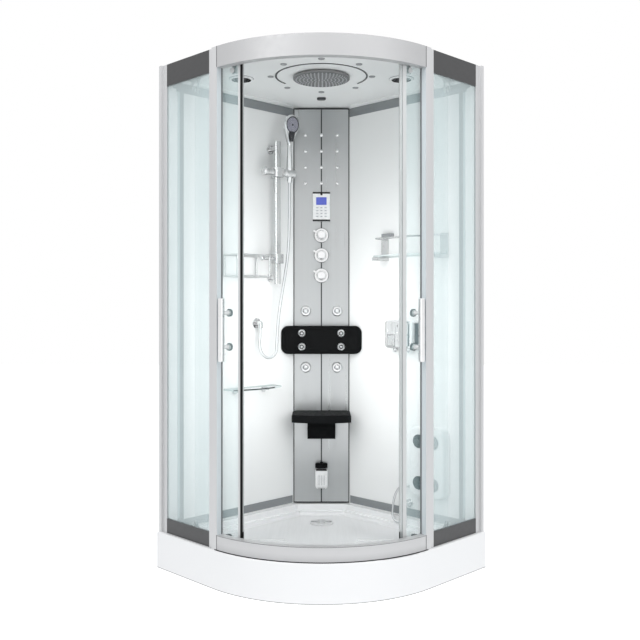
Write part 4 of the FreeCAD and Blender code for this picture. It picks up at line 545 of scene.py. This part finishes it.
def ribbed_tube(name, line, radius, pitch, depth, sides=14):
    """Hose with a rib every pitch, swept along a line."""
    mesh = bmesh.new()
    points = even_points(line, pitch / 4)
    up = Vector((0.31, 0.67, 0.12)).normalized()
    rings = []
    for i, point in enumerate(points):
        before, after = points[max(i - 1, 0)], points[min(i + 1, len(points) - 1)]
        along = (after - before).normalized()
        up = (up - along * up.dot(along)).normalized()
        side = along.cross(up)
        r = radius - depth * (0.5 + 0.5 * math.cos(math.pi / 2 * i))
        rings.append(circle(mesh, point, up, side, r, sides))
    join_rings(mesh, rings)
    return finish_mesh(name, mesh, smooth=True)


def finish_mesh(name, mesh, smooth=False):
    data = bpy.data.meshes.new(name)
    bmesh.ops.recalc_face_normals(mesh, faces=mesh.faces[:])
    mesh.to_mesh(data)
    mesh.free()
    if smooth:
        data.polygons.foreach_set("use_smooth", [True] * len(data.polygons))
    piece = bpy.data.objects.new(name, data)
    bpy.context.scene.collection.objects.link(piece)
    return piece


HOSE = chrome("hose_sheath", (0.80, 0.81, 0.82), 0.42, 0.16, 0.6)


def make_hose(name, side, route, diameter, node, pitch):
    line = route_line(side, route)
    tube = ribbed_tube(name, line, diameter / 2 * MM, pitch, 0.0005)
    tube.data.materials.append(HOSE.material)
    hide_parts(node)
    return tube


handset_tube = make_hose("handset_hose_sheath", "left", HANDSET_HOSE, HANDSET_HOSE_D,
                         "handset_hose", 0.0048)
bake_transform(handset_tube)
foot_tube = make_hose("foot_hose_sheath", "right", FOOT_HOSE, FOOT_HOSE_D, "foot_hose", 0.0040)
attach(foot_tube, "cabin")


# ---------------- modelled pieces
def piece(name, mesh, finish, body="cabin", slot=None, smooth=False):
    """Turn a bmesh into a piece with a material that moves with a body."""
    made = finish_mesh(name, mesh, smooth)
    made.data.materials.append(finish.material)
    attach(made, body)
    return made


def soften(mesh, width, segments=2, angle=35.0):
    """Round every edge that is sharper than an angle."""
    bmesh.ops.remove_doubles(mesh, verts=mesh.verts[:], dist=1e-6)
    bmesh.ops.recalc_face_normals(mesh, faces=mesh.faces[:])
    sharp = [e for e in mesh.edges if len(e.link_faces) == 2
             and e.calc_face_angle(0) > math.radians(angle)]
    if sharp:
        bmesh.ops.bevel(mesh, geom=sharp, offset=width, offset_type="OFFSET", segments=segments,
                        profile=0.5, affect="EDGES", clamp_overlap=True)


def add_prism(mesh, ring, push):
    """Closed prism: a ring of points pushed along a vector."""
    push = Vector(push)
    near = [mesh.verts.new(p) for p in ring]
    far = [mesh.verts.new(Vector(p) + push) for p in ring]
    n = len(ring)
    for i in range(n):
        mesh.faces.new((near[i], near[(i + 1) % n], far[(i + 1) % n], far[i]))
    mesh.faces.new(near[::-1])
    mesh.faces.new(far)


def corners(a0, a1, b0, b1):
    """Corners of a rectangle, in order."""
    return [(a0, b0), (a1, b0), (a1, b1), (a0, b1)]


def add_block(mesh, low, high):
    x0, y0, z0 = low
    x1, y1, z1 = high
    add_prism(mesh, [(x0, y0, z0), (x1, y0, z0), (x1, y1, z0), (x0, y1, z0)], (0, 0, z1 - z0))


def round_outline(width, height, radius, steps=6):
    """Corner-rounded rectangle round the origin, as (u, v) pairs."""
    points = []
    for i, (sx, sy) in enumerate(((1, 1), (-1, 1), (-1, -1), (1, -1))):
        cx, cy = sx * (width / 2 - radius), sy * (height / 2 - radius)
        for k in range(steps + 1):
            a = math.radians(90 * i + 90 * k / steps)
            points.append((cx + radius * math.cos(a), cy + radius * math.sin(a)))
    return points


TURNING = {"front": (ACROSS, UP, -DEEP), "up": (ACROSS, DEEP, UP), "down": (ACROSS, -DEEP, -UP)}


def add_turned(mesh, profile, centre, axis, steps=40):
    """Revolve (radius, height) pairs; axis is 'up', 'down' or 'front' (heights towards -Y)."""
    u, v, out = TURNING[axis]
    join_rings(mesh, [circle(mesh, Vector(centre) + out * h, u, v, r, steps) for r, h in profile])


def arc_point(radius, phi, z, side=1):
    """Point at an angle from the front, round the axis of the curved doors."""
    a = math.radians(phi)
    return Vector((side * radius * math.sin(a), AXIS_Y - radius * math.cos(a), z))


def add_arc_bar(mesh, section, phi0, phi1, steps=48):
    """Bar of (radius, z) section bent round the axis of the doors."""
    rings = []
    for k in range(steps + 1):
        phi = phi0 + (phi1 - phi0) * k / steps
        rings.append([mesh.verts.new(arc_point(r, phi, z)) for r, z in section])
    join_rings(mesh, rings)


def add_arc_prism(mesh, section, z0, height, side):
    """Upright bar whose section is given in (radius, angle) round the doors' axis."""
    add_prism(mesh, [arc_point(r, phi, z0, side) for r, phi in section], (0, 0, height))


def merge(mesh, part):
    """Add one bmesh to another and free it."""
    data = bpy.data.meshes.new("part")
    part.to_mesh(data)
    part.free()
    mesh.from_mesh(data)
    bpy.data.meshes.remove(data)


def on_wall(mesh, side):
    """Move a mesh made in wall coordinates (x = along, y = -out, z) on to its wall."""
    for v in mesh.verts:
        w, o, z = v.co.x, -v.co.y, v.co.z
        sign = -1 if side == "left" else 1
        v.co = (sign * (w - o) / ROOT2, CORNER_Y - (w + o) / ROOT2, z)
    bmesh.ops.recalc_face_normals(mesh, faces=mesh.faces[:])


# ---------------- column: seams and gaskets
GASKET = plastic("black_gasket", (0.004, 0.004, 0.004), 0.5, shine=0.1)
GREY_GASKET = plastic("grey_gasket", (0.16, 0.165, 0.17), 0.55)
COLUMN_SEAL = plastic("column_seal", (0.045, 0.046, 0.048), 0.55)
COLUMN_Z0, COLUMN_Z1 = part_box("column_panels")[0].z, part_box("column_panels")[1].z
COLUMN_HALF = 0.201 - WALL_FACE * ROOT2
STRIP_W = 0.005


def column_seals():
    """Rubber strip in the seam, one along each edge, and one at the foot and the head."""
    mesh = bmesh.new()
    face = COLUMN_Y
    add_block(mesh, (-0.0030, face - 0.0009, COLUMN_Z0 + 0.004), (0.0030, face + 0.002, COLUMN_Z1))
    for x in (-COLUMN_HALF, COLUMN_HALF - STRIP_W):
        add_block(mesh, (x, face - 0.0014, COLUMN_Z0), (x + STRIP_W, face + 0.001, COLUMN_Z1))
    half = COLUMN_HALF - 0.001
    for z in (COLUMN_Z0, COLUMN_Z1 - STRIP_W):
        add_block(mesh, (-half, face - 0.0018, z), (half, face + 0.001, z + STRIP_W))
    soften(mesh, 0.0004, 1)
    piece("column_seals", mesh, COLUMN_SEAL, slot="fittings_nylon")


column_seals()


# ---------------- control panel
PANEL_W, PANEL_H, PANEL_Z = 0.084, 0.143, 1.610
PANEL_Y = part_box("control_panel")[0].y
CAP_H = 0.0085
SCREEN_W, SCREEN_H, SCREEN_Z = 0.0512, 0.0372, 1.637
KEY_W, KEY_H, KEY_TOP_Z, KEY_STEP_X, KEY_STEP_Z = 0.0135, 0.0068, 1.6045, 0.0205, 0.0142
LCD = Finish("lcd", (0.085, 0.11, 0.46), 0.12, Emission_Color=(0.10, 0.14, 0.62, 1), Emission_Strength=0.22)
LCD.tint(LCD.noise(220.0, 1.0), 0.12)
GLOSS_BLACK = plastic("gloss_black", (0.008, 0.008, 0.009), 0.12)
KEY = plastic("membrane_key", (0.60, 0.61, 0.63), 0.4)


def add_plate(mesh, outline, x, z, y, rise):
    """Plate with an outline in (u, v), from y towards the doors."""
    add_prism(mesh, [(x + u, y, z + v) for u, v in outline], (0, -rise, 0))


def key_places():
    for row in range(4):
        for column in (-1, 0, 1):
            yield (row * 3 + column) % 3, column * KEY_STEP_X, KEY_TOP_Z - row * KEY_STEP_Z


def control_details():
    """Black caps and lens of the control box, its screen, and keys with plain marks."""
    mesh = bmesh.new()
    half = PANEL_W / 2 + 0.0008
    for z in (PANEL_Z + PANEL_H / 2 - CAP_H, PANEL_Z - PANEL_H / 2):
        outline = [(-half, 0), (half, 0), (half, CAP_H), (-half, CAP_H)]
        add_plate(mesh, outline, 0, z, PANEL_Y + 0.010, 0.0118)
    soften(mesh, 0.0025, 3)
    add_turned(mesh, [(0.0052, 0), (0.0052, 0.002), (0.0035, 0.0032)],
               (0, PANEL_Y, PANEL_Z + PANEL_H / 2 - 0.0115), "front", 28)
    piece("panel_caps", mesh, GLOSS_BLACK, slot="fittings_nylon")
    mesh = bmesh.new()
    add_plate(mesh, round_outline(SCREEN_W, SCREEN_H, 0.0018, 3), 0, SCREEN_Z, PANEL_Y + 0.0012, 0.0012)
    piece("lcd_glass", mesh, LCD, slot="clear_glass")
    mesh = bmesh.new()
    for _, x, z in key_places():
        add_plate(mesh, round_outline(KEY_W, KEY_H, 0.0024, 3), x, z, PANEL_Y + 0.0002, 0.0009)
    soften(mesh, 0.0003, 1)
    piece("panel_keys", mesh, KEY, slot="white_plastic")
    mesh = bmesh.new()
    for kind, x, z in key_places():
        if kind == 0:
            add_turned(mesh, [(0.0017, 0), (0.0017, 0.0003)], (x, PANEL_Y - 0.0006, z), "front", 16)
        elif kind == 1:
            add_block(mesh, (x - 0.003, PANEL_Y - 0.0009, z - 0.0005),
                      (x + 0.003, PANEL_Y - 0.0004, z + 0.0005))
        else:
            arrow = [(-0.002, -0.0015), (0.002, -0.0015), (0, 0.002)]
            add_plate(mesh, arrow, x, z, PANEL_Y - 0.0004, 0.0005)
    piece("key_marks", mesh, GREY_GASKET, slot="fittings_nylon")


control_details()


# ---------------- back rest
PAD = plastic("moulded_foam", (0.0055, 0.0058, 0.0062), 0.6, 0.0001, 1400.0, shine=0.06)
PAD_LOW, PAD_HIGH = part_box("back_pad")
PAD_FLAT_Y = COLUMN_Y - 0.060
PAD_ROLL = 0.013
PAD_INSETS = (0, 0.0006, 0.0018, 0.0036, 0.006, 0.009, 0.0125, 0.016, 0.0175, 0.019, 0.026, 0.036,
              0.048, 0.060, 0.0675)
SEAM_INSET, SEAM_DEPTH = 0.0175, 0.0016


def outline_rings(width, height, radius, insets, steps=10):
    """The same rounded outline at each inset."""
    rings = []
    for inset in insets:
        inner = max(radius - inset, 0.0006)
        rings.append(round_outline(width - 2 * inset, height - 2 * inset, inner, steps))
    return rings


def back_rest():
    """Moulded foam rest: soft rounded rim, a seam inside it, and raised ends."""
    width, height = PAD_HIGH.x - PAD_LOW.x, PAD_HIGH.z - PAD_LOW.z
    z_mid = (PAD_HIGH.z + PAD_LOW.z) / 2
    wall_x = COLUMN_HALF - 0.001
    half = width / 2

    def front(x):
        t = min(max((abs(x) - (half - 0.046)) / 0.040, 0), 1)
        return PAD_FLAT_Y - 0.0066 * t * t * (3 - 2 * t)

    def back(x):
        return COLUMN_Y - 0.0004 - max(abs(x) - wall_x, 0.0)

    mesh = bmesh.new()
    loops = [[mesh.verts.new((u, back(u), z_mid + v))
              for u, v in round_outline(width - 0.003, height - 0.003, 0.0325, 10)]]
    for inset, ring in zip(PAD_INSETS, outline_rings(width, height, 0.034, PAD_INSETS)):
        loop = []
        for u, v in ring:
            d = min(inset / PAD_ROLL, 1.0)
            y = front(u) + PAD_ROLL * (1 - math.sqrt(max(1 - (1 - d) ** 2, 0)))
            if inset == SEAM_INSET:
                y += SEAM_DEPTH
            y = min(y, back(u) - 0.002)
            loop.append(mesh.verts.new((u, y, z_mid + v)))
        loops.append(loop)
    join_rings(mesh, loops)
    pad = piece("back_rest", mesh, PAD, slot="black_pad", smooth=True)
    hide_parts("back_pad")


back_rest()


# ---------------- doors: seals on the leading edges
DOOR_Z0, DOOR_Z1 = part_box("left_door_glass")[0].z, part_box("left_door_glass")[1].z
SEAL_PHI = 33.2
CLEAR_SEAL = plastic("pale_seal", (0.64, 0.65, 0.65), 0.4)
CLEAR_NOSE = glass("clear_nose", (0.80, 0.86, 0.86), 0.35)


def add_seal(mesh, section, side, z0, height):
    """Upright strip with a section in (distance from the pane, angle from the seal's nose)."""
    add_arc_prism(mesh, [(DOOR_R + r, SEAL_PHI + phi) for r, phi in section], z0, height, side)


def door_seal(side, finish, slot):
    """Ribbed magnetic nose on a door's leading edge."""
    mesh = bmesh.new()
    section = [(-0.0062, 1.15), (-0.0052, 0.85), (-0.0062, 0.55), (-0.0052, 0.1), (0.0052, 0.1),
               (0.0062, 0.55), (0.0052, 0.85), (0.0062, 1.15)]
    add_seal(mesh, section, side, DOOR_Z0 - 0.0005, DOOR_Z1 - DOOR_Z0 + 0.001)
    soften(mesh, 0.0006, 1)
    name = "left" if side < 0 else "right"
    piece(name + "_magnetic_seal", mesh, finish, name + "_door", slot)


door_seal(-1, GASKET, "fittings_nylon")
door_seal(1, CLEAR_NOSE, "clear_glass")


def seal_channels():
    """Pale channel of each seal over the edge of the glass, and the right one's dark lip."""
    for side, name, outer in ((-1, "left", 2.3), (1, "right", 3.2)):
        mesh = bmesh.new()
        section = [(-0.0060, 1.16), (-0.0060, outer), (0.0060, outer), (0.0060, 1.16)]
        add_seal(mesh, section, side, DOOR_Z0, DOOR_Z1 - DOOR_Z0)
        soften(mesh, 0.0008, 2)
        piece(name + "_seal_channel", mesh, CLEAR_SEAL, name + "_door", "white_plastic")
    mesh = bmesh.new()
    section = [(-0.0064, 1.08), (-0.0064, 1.20), (0.0064, 1.20), (0.0064, 1.08)]
    add_seal(mesh, section, 1, DOOR_Z0 + 0.0004, DOOR_Z1 - DOOR_Z0 - 0.0008)
    piece("right_seal_lip", mesh, GREY_GASKET, "right_door", "fittings_nylon")


seal_channels()


# ---------------- frame: gaskets and joint lines
POST_IN_R, FRAME_R, POST_PHI = 0.574, 0.604, 43.387
HEADER_Z0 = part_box("front_header")[0].z
THRESHOLD_Z1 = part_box("front_threshold")[1].z


def frame_gaskets():
    """Brush seals along the inner flank of each front post, and the bead under the threshold."""
    mesh = bmesh.new()
    for side in (-1, 1):
        section = corners(POST_IN_R + 0.0005, POST_IN_R + 0.0075, POST_PHI, POST_PHI - 0.13)
        add_arc_prism(mesh, section, THRESHOLD_Z1, HEADER_Z0 - THRESHOLD_Z1, side)
    piece("post_brush_seals", mesh, GREY_GASKET, slot="fittings_nylon")
    mesh = bmesh.new()
    add_arc_bar(mesh, [(FRAME_R - 0.002, TRAY_Z), (FRAME_R + 0.0022, TRAY_Z),
                       (FRAME_R + 0.0014, TRAY_Z + 0.0028), (FRAME_R - 0.002, TRAY_Z + 0.0028)],
                -44.6, 44.6)
    piece("threshold_bead", mesh, GASKET, slot="fittings_nylon")


frame_gaskets()


# ---------------- ceiling
RAIN_R = 0.120
RAIN_FACE_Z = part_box("rain_head")[0].z
NOZZLE = plastic("silicone_nozzle", (0.46, 0.47, 0.48), 0.5)
DARK = plastic("dark_recess", (0.03, 0.032, 0.034), 0.5)


def rain_nozzles():
    """Rings of soft nozzles under the rain head, and the dark line inside its rim."""
    mesh = bmesh.new()
    radii = (0.012, 0.028, 0.044, 0.060, 0.076, 0.092, 0.107)
    for k, radius in enumerate(radii):
        count = 5 + 6 * k
        for i in range(count):
            a = 2 * math.pi * (i + 0.5 * (k % 2)) / count
            centre = (radius * math.cos(a), RAIN_Y + radius * math.sin(a), RAIN_FACE_Z)
            add_turned(mesh, [(0.0036, 0), (0.0032, 0.0012), (0.0018, 0.0026)], centre, "down", 10)
    piece("rain_nozzles", mesh, NOZZLE, slot="rain_grey")
    mesh = bmesh.new()
    inner, outer = RAIN_R - 0.0135, RAIN_R - 0.0115
    add_turned(mesh, [(inner, -0.0003), (inner, 0.0006), (outer, 0.0006), (outer, -0.0003)],
               (0, RAIN_Y, RAIN_FACE_Z), "down", 72)
    piece("rain_rim_line", mesh, DARK, slot="rain_grey")


rain_nozzles()


# ---------------- ceiling: cove and trims
COVE_START, COVE_RUN = 0.1953, 0.690


def cove():
    """White cove lip along each wall under the ceiling, and the grey trim below it."""
    for name, finish, low, high, depth in (("cove_lips", WALL, 0.0075, 0.0, 0.036),
                                           ("cove_trims", TRIM, 0.0480, 0.0073, 0.0042)):
        mesh = bmesh.new()
        for side in ("left", "right"):
            part = bmesh.new()
            section = [(WALL_FACE - 0.0005, low), (WALL_FACE + depth * 0.5, low),
                       (WALL_FACE + depth, (low + high) / 2), (WALL_FACE + depth, high),
                       (WALL_FACE - 0.0005, high)]
            add_prism(part, [(COVE_START + o, -o, CEILING_Z - drop) for o, drop in section],
                      (COVE_RUN, 0, 0))
            on_wall(part, side)
            merge(mesh, part)
        soften(mesh, 0.0008, 1)
        piece(name, mesh, finish, slot="wall_white" if finish is WALL else "trim_grey")


cove()


def header_joints():
    """Shadow gaps where the header and the threshold meet the front posts, and a line under
    the threshold's rim."""
    mesh = bmesh.new()
    for side in (-1, 1):
        for z0, z1 in ((HEADER_Z0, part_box("front_header")[1].z), (TRAY_Z + 0.001, THRESHOLD_Z1)):
            section = corners(FRAME_R - 0.001, FRAME_R + 0.0007, POST_PHI - 0.02, POST_PHI + 0.18)
            add_arc_prism(mesh, section, z0, z1 - z0, side)
    piece("header_joints", mesh, DARK, slot="fittings_nylon")
    mesh = bmesh.new()
    low, high = THRESHOLD_Z1 - 0.0030, THRESHOLD_Z1 - 0.0012
    add_arc_bar(mesh, corners(FRAME_R - 0.001, FRAME_R + 0.0006, low, high), -POST_PHI, POST_PHI)
    piece("threshold_line", mesh, GREY_GASKET, slot="fittings_nylon")


header_joints()


# ---------------- hand shower: face and insert
FACE = plastic("handset_face", (0.34, 0.335, 0.40), 0.3)
FACE_DARK = plastic("handset_dark", (0.035, 0.036, 0.042), 0.3)
FACE_PALE = plastic("handset_pale", (0.50, 0.50, 0.55), 0.3)
FACE_W, FACE_O, FACE_Z = 0.330, 0.138, 1.985
FACE_TILT = math.radians(8.0)


def on_face(mesh):
    """Move a mesh from the face's own plane (x, y up, z out) on to the hand shower."""
    for v in mesh.verts:
        x, u, n = v.co
        o = FACE_O + u * math.sin(FACE_TILT) + n * math.cos(FACE_TILT)
        z = FACE_Z + u * math.cos(FACE_TILT) - n * math.sin(FACE_TILT)
        w = FACE_W + x
        v.co = (-(w - o) / ROOT2, CORNER_Y - (w + o) / ROOT2, z)
    bmesh.ops.recalc_face_normals(mesh, faces=mesh.faces[:])


def add_ring(mesh, r0, r1, n0, n1, steps=48):
    """Flat ring in the plane x, y from n0 to n1."""
    rows = [circle(mesh, UP * n, ACROSS, DEEP, r, steps) for r, n in ((r0, n0), (r0, n1), (r1, n1), (r1, n0))]
    join_rings(mesh, rows, ends=False)


INSERT_Z, INSERT_O, INSERT_LEAN = 1.886, 0.1315, 0.025


def handset_face():
    """Face, rings and nozzles of the hand shower, and the dark insert in its neck."""
    depth = -0.0015
    mesh = bmesh.new()
    add_ring(mesh, 0.0002, 0.0345, depth - 0.0004, depth + 0.0008)
    on_face(mesh)
    piece("handset_face", mesh, FACE, "handset", "rain_grey")
    mesh = bmesh.new()
    add_ring(mesh, 0.0346, 0.0392, depth - 0.0004, depth + 0.0012)
    add_ring(mesh, 0.0002, 0.0055, depth, depth + 0.0014)
    for r in (0.0135, 0.0215, 0.0290):
        add_ring(mesh, r, r + 0.0008, depth, depth + 0.0011)
    on_face(mesh)
    piece("handset_rings", mesh, FACE_DARK, "handset", "rain_grey")
    mesh = bmesh.new()
    for r, count in ((0.0100, 8), (0.0178, 14), (0.0255, 20), (0.0318, 26)):
        for i in range(count):
            a = 2 * math.pi * i / count
            add_turned(mesh, [(0.0013, depth), (0.0012, depth + 0.0016), (0.0006, depth + 0.0022)],
                       (r * math.cos(a), r * math.sin(a), 0), "up", 8)
    on_face(mesh)
    piece("handset_nozzles", mesh, FACE_PALE, "handset", "rain_grey")
    mesh = bmesh.new()
    ring = [(-0.0185, 0.068), (0.0185, 0.068), (0.0150, 0.044), (0.0095, 0.026), (0.0055, 0.0205),
            (0.0, 0.0190), (-0.0055, 0.0205), (-0.0095, 0.026), (-0.0150, 0.044)]
    points = [(FACE_W + x, 0.0004 - INSERT_O - up * INSERT_LEAN, INSERT_Z + up) for x, up in ring]
    add_prism(mesh, points, (0, -0.0012, 0))
    on_wall(mesh, "left")
    piece("handset_insert", mesh, FACE_DARK, "handset", "rain_grey")


handset_face()


# ---------------- jets: dark rings round the nozzles
JET_RING = plastic("jet_ring", (0.03, 0.031, 0.033), 0.4)


JET_X, JET_ZS = 0.095, (0.9915, 0.9267)
JET_RING_SECTION = ((0.0068, 0), (0.0068, 0.0006), (0.0112, 0.0006), (0.0112, 0))


def jet_rings():
    """Dark ring round the nozzle of each jet in the back pad."""
    mesh = bmesh.new()
    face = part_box("body_jets")[0].y
    for x in (-JET_X, JET_X):
        for z in JET_ZS:
            rows = [circle(mesh, Vector((x, face - h, z)), ACROSS, UP, r) for r, h in JET_RING_SECTION]
            join_rings(mesh, rows, ends=False)
    piece("jet_rings", mesh, JET_RING, slot="fittings_nylon")


jet_rings()


# ---------------- walls: soap, shelf and steam details
SLATE = plastic("slate_grey", (0.055, 0.065, 0.075), 0.35)
SOFT_GREY = plastic("soft_grey", (0.30, 0.31, 0.32), 0.4)
PIN_BLACK = plastic("pin_black", (0.012, 0.012, 0.013), 0.4)


def wall_blocks(name, finish, side, blocks, slot, round_off=0.0006):
    """Small blocks given in wall coordinates: (w0, w1, o0, o1, z0, z1)."""
    mesh = bmesh.new()
    for w0, w1, o0, o1, z0, z1 in blocks:
        add_block(mesh, (w0, -o1, z0), (w1, -o0, z1))
    on_wall(mesh, side)
    soften(mesh, round_off, 2)
    return piece(name, mesh, finish, slot=slot)


SOAP_FACE, SOAP_END, SEAM_RISE = WALL_FACE + 0.062, 0.674, 0.0006
SOAP_TOP, SOAP_FOOT, PUMP_TOP = 1.050, 0.940, 1.000
SOAP_SEAMS = ((0.5625, 0.5640, SOAP_FOOT), (0.5850, 0.5862, PUMP_TOP), (0.6120, 0.6132, SOAP_FOOT),
              (0.6480, 0.6492, PUMP_TOP))


def soap_details():
    """Level windows, seams, screws and nozzles of the soap dispenser."""
    low = SOAP_FACE - 0.001
    wall_blocks("soap_windows", SLATE, "right",
                [(0.6590, 0.6655, low, SOAP_FACE + 0.0012, 0.943, 1.043),
                 (SOAP_END - 0.001, SOAP_END + 0.0012, 0.0520, 0.0790, 0.950, 1.046)], "fittings_nylon")
    seams = [(w0, w1, low, SOAP_FACE + SEAM_RISE, z0, SOAP_TOP) for w0, w1, z0 in SOAP_SEAMS]
    seams.append((SOAP_END - 0.001, SOAP_END + SEAM_RISE, 0.0850, 0.0862, 0.945, 1.046))
    wall_blocks("soap_seams", SOFT_GREY, "right", seams, "fittings_nylon", 0.0002)
    mesh = bmesh.new()
    for w, z in ((0.5955, 1.0330), (0.6560, 1.0500), (0.5760, 0.9400)):
        add_turned(mesh, [(0.0030, 0), (0.0030, 0.0008), (0.0022, 0.0012)], (w, -SOAP_FACE, z), "front", 14)
    on_wall(mesh, "right")
    piece("soap_screws", mesh, PIN_BLACK, slot="fittings_nylon")
    mesh = bmesh.new()
    for w in (0.5585, 0.6355):
        add_turned(mesh, [(0.0085, 0), (0.0078, 0.0035), (0.0040, 0.0050), (0.0040, 0.0062)],
                   (w, -WALL_FACE - 0.031, 0.9190), "down", 24)
    on_wall(mesh, "right")
    piece("soap_nozzles", mesh, SOFT_GREY, slot="fittings_nylon")


soap_details()


LOW_SHELF_W, LOW_SHELF_TIP, LOW_SHELF_BOW = (0.377, 0.674), WALL_FACE + 0.1003, 0.035
BEAD_W, BEAD_Z, BEAD_STEPS = (0.4420, 0.6700), (0.7415, 0.7470), 24


def shelf_details():
    """Clamp on the upper shelf's bracket and the dark bead along the lower shelf's front."""
    wall_blocks("shelf_clamps", SOFT_GREY, "right",
                [(0.463, 0.525, WALL_FACE + 0.0002, WALL_FACE + 0.020, 1.4475, 1.4625)], "chrome_plastic",
                0.0016)
    mesh = bmesh.new()
    mid, half = sum(LOW_SHELF_W) / 2, (LOW_SHELF_W[1] - LOW_SHELF_W[0]) / 2
    radius = (half * half + LOW_SHELF_BOW ** 2) / (2 * LOW_SHELF_BOW)
    rings = []
    for k in range(BEAD_STEPS + 1):
        w = BEAD_W[0] + (BEAD_W[1] - BEAD_W[0]) * k / BEAD_STEPS
        o = LOW_SHELF_TIP - radius + math.sqrt(radius * radius - (w - mid) ** 2)
        rings.append([mesh.verts.new((w, y, z)) for y, z in corners(0.0004 - o, -0.0012 - o, *BEAD_Z)])
    join_rings(mesh, rings)
    on_wall(mesh, "left")
    piece("low_shelf_bead", mesh, PIN_BLACK, slot="fittings_nylon")


shelf_details()


def steam_details():
    """Flutes down the steam outlet's body and a collar under its cap."""
    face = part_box("steam_outlet")[0].y
    mesh = bmesh.new()
    for k in (-2, -1, 0, 1, 2):
        x = k * 0.008
        add_block(mesh, (x - 0.0009, face - 0.0005, 0.252), (x + 0.0009, face + 0.001, 0.300))
    soften(mesh, 0.0002, 1)
    piece("steam_flutes", mesh, SOFT_GREY, slot="fittings_nylon")
    mesh = bmesh.new()
    add_block(mesh, (-0.026, face - 0.0008, 0.322), (0.026, face + 0.002, 0.3335))
    soften(mesh, 0.0006, 2)
    piece("steam_collar", mesh, PIN_BLACK, slot="black_pad")


steam_details()


SLOT_HALF, SLOT_Y = 0.046, 0.2008


def drain_line():
    """Slot across the drain cover with its two end marks."""
    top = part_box("drain_cover")[1].z
    mesh = bmesh.new()
    rim = top + 0.0004
    add_block(mesh, (-SLOT_HALF, SLOT_Y - 0.0016, top - 0.0035), (SLOT_HALF, SLOT_Y + 0.0016, rim))
    for x in (-SLOT_HALF, SLOT_HALF):
        add_block(mesh, (x - 0.0012, SLOT_Y - 0.007, top - 0.0055), (x + 0.0012, SLOT_Y + 0.007, rim))
    piece("drain_slot", mesh, SOFT_GREY, "drain_cover", "fittings_nylon")


drain_line()


# ---------------- doors: handles and guide caps
HANDLE_PHI, HANDLE_Z, HANDLE_FIX = 41.6, 1.029, 0.068
WASHER_SECTION = ((0.01205, 0.5565), (0.0155, 0.5565), (0.0155, 0.5480), (0.01205, 0.5480))
GRIP_R, GRIP_HALF_W, GRIP_HALF_D, GRIP_LEN = 0.597, 0.0122, 0.0079, 0.2505
GUIDE_PHIS, GUIDE_Z, GUIDE_H = (40.2, 42.2), 0.2020, 0.0125


def door_trim():
    """Dark washers round each handle's inner fixings, caps on the front guide blocks, and a sleeve
    over the grip."""
    for side, name in ((-1, "left"), (1, "right")):
        out = arc_point(1.0, HANDLE_PHI, 0, side) - arc_point(0.0, HANDLE_PHI, 0, side)
        along = Vector((-out.y, out.x, 0))
        mesh = bmesh.new()
        for z in (HANDLE_Z - HANDLE_FIX, HANDLE_Z + HANDLE_FIX):
            rows = [circle(mesh, arc_point(dist, HANDLE_PHI, z, side), along, UP, r)
                    for r, dist in WASHER_SECTION]
            join_rings(mesh, rows, ends=False)
        piece(name + "_handle_washers", mesh, PIN_BLACK, name + "_door", "fittings_nylon")
        mesh = bmesh.new()
        for low, high in ((-0.0072, -0.0034), (0.0034, 0.0072)):
            section = corners(DOOR_R + low, DOOR_R + high, *GUIDE_PHIS)
            add_arc_prism(mesh, section, GUIDE_Z, GUIDE_H, side)
        soften(mesh, 0.0008, 2)
        piece(name + "_guide_caps", mesh, PIN_BLACK, name + "_door", "fittings_nylon")
        mesh = bmesh.new()
        foot = arc_point(GRIP_R, HANDLE_PHI, HANDLE_Z - GRIP_LEN / 2, side)
        section = corners(-GRIP_HALF_W, GRIP_HALF_W, -GRIP_HALF_D, GRIP_HALF_D)
        add_prism(mesh, [foot + along * a + out * b for a, b in section], (0, 0, GRIP_LEN))
        soften(mesh, 0.0032, 3)
        piece(name + "_grip_sleeve", mesh, PLATED, name + "_door", "chrome_plastic")


door_trim()


def unit_lines():
    """Shadow gap round the rim of each ceiling grille."""
    mesh = bmesh.new()
    for x in (-UNIT_X, UNIT_X):
        part = bmesh.new()
        add_ring(part, 0.0518, 0.0535, 0.0, 0.0012, 56)
        for v in part.verts:
            v.co = (x + v.co.x, UNIT_Y + v.co.y, CEILING_Z - 0.0001 - v.co.z)
        merge(mesh, part)
    piece("unit_lines", mesh, SOFT_GREY, slot="fittings_nylon")


unit_lines()


COVER_SPANS = ((0.4375, 0.4516), (0.6600, 0.6830))
COVER_T = 0.0025


def flank_covers():
    """Cover strips that widen the posts over the edges of the fixed side panes."""
    plane = max(abs(v.co.x) - v.co.y for v in NODES["side_infill_panels"].data.vertices) + 0.0005
    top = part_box("side_infill_panels")[1].z
    mesh = bmesh.new()
    for side in (-1, 1):
        for x0, x1 in COVER_SPANS:
            ring = [(side * (x - rise), x - plane + rise, TRAY_Z + 0.0005)
                    for x, rise in corners(x0, x1, 0, COVER_T)]
            add_prism(mesh, ring, (0, 0, top - TRAY_Z - 0.0005))
    soften(mesh, 0.0006, 2)
    piece("flank_covers", mesh, FLANK, slot="frame_silver")


flank_covers()
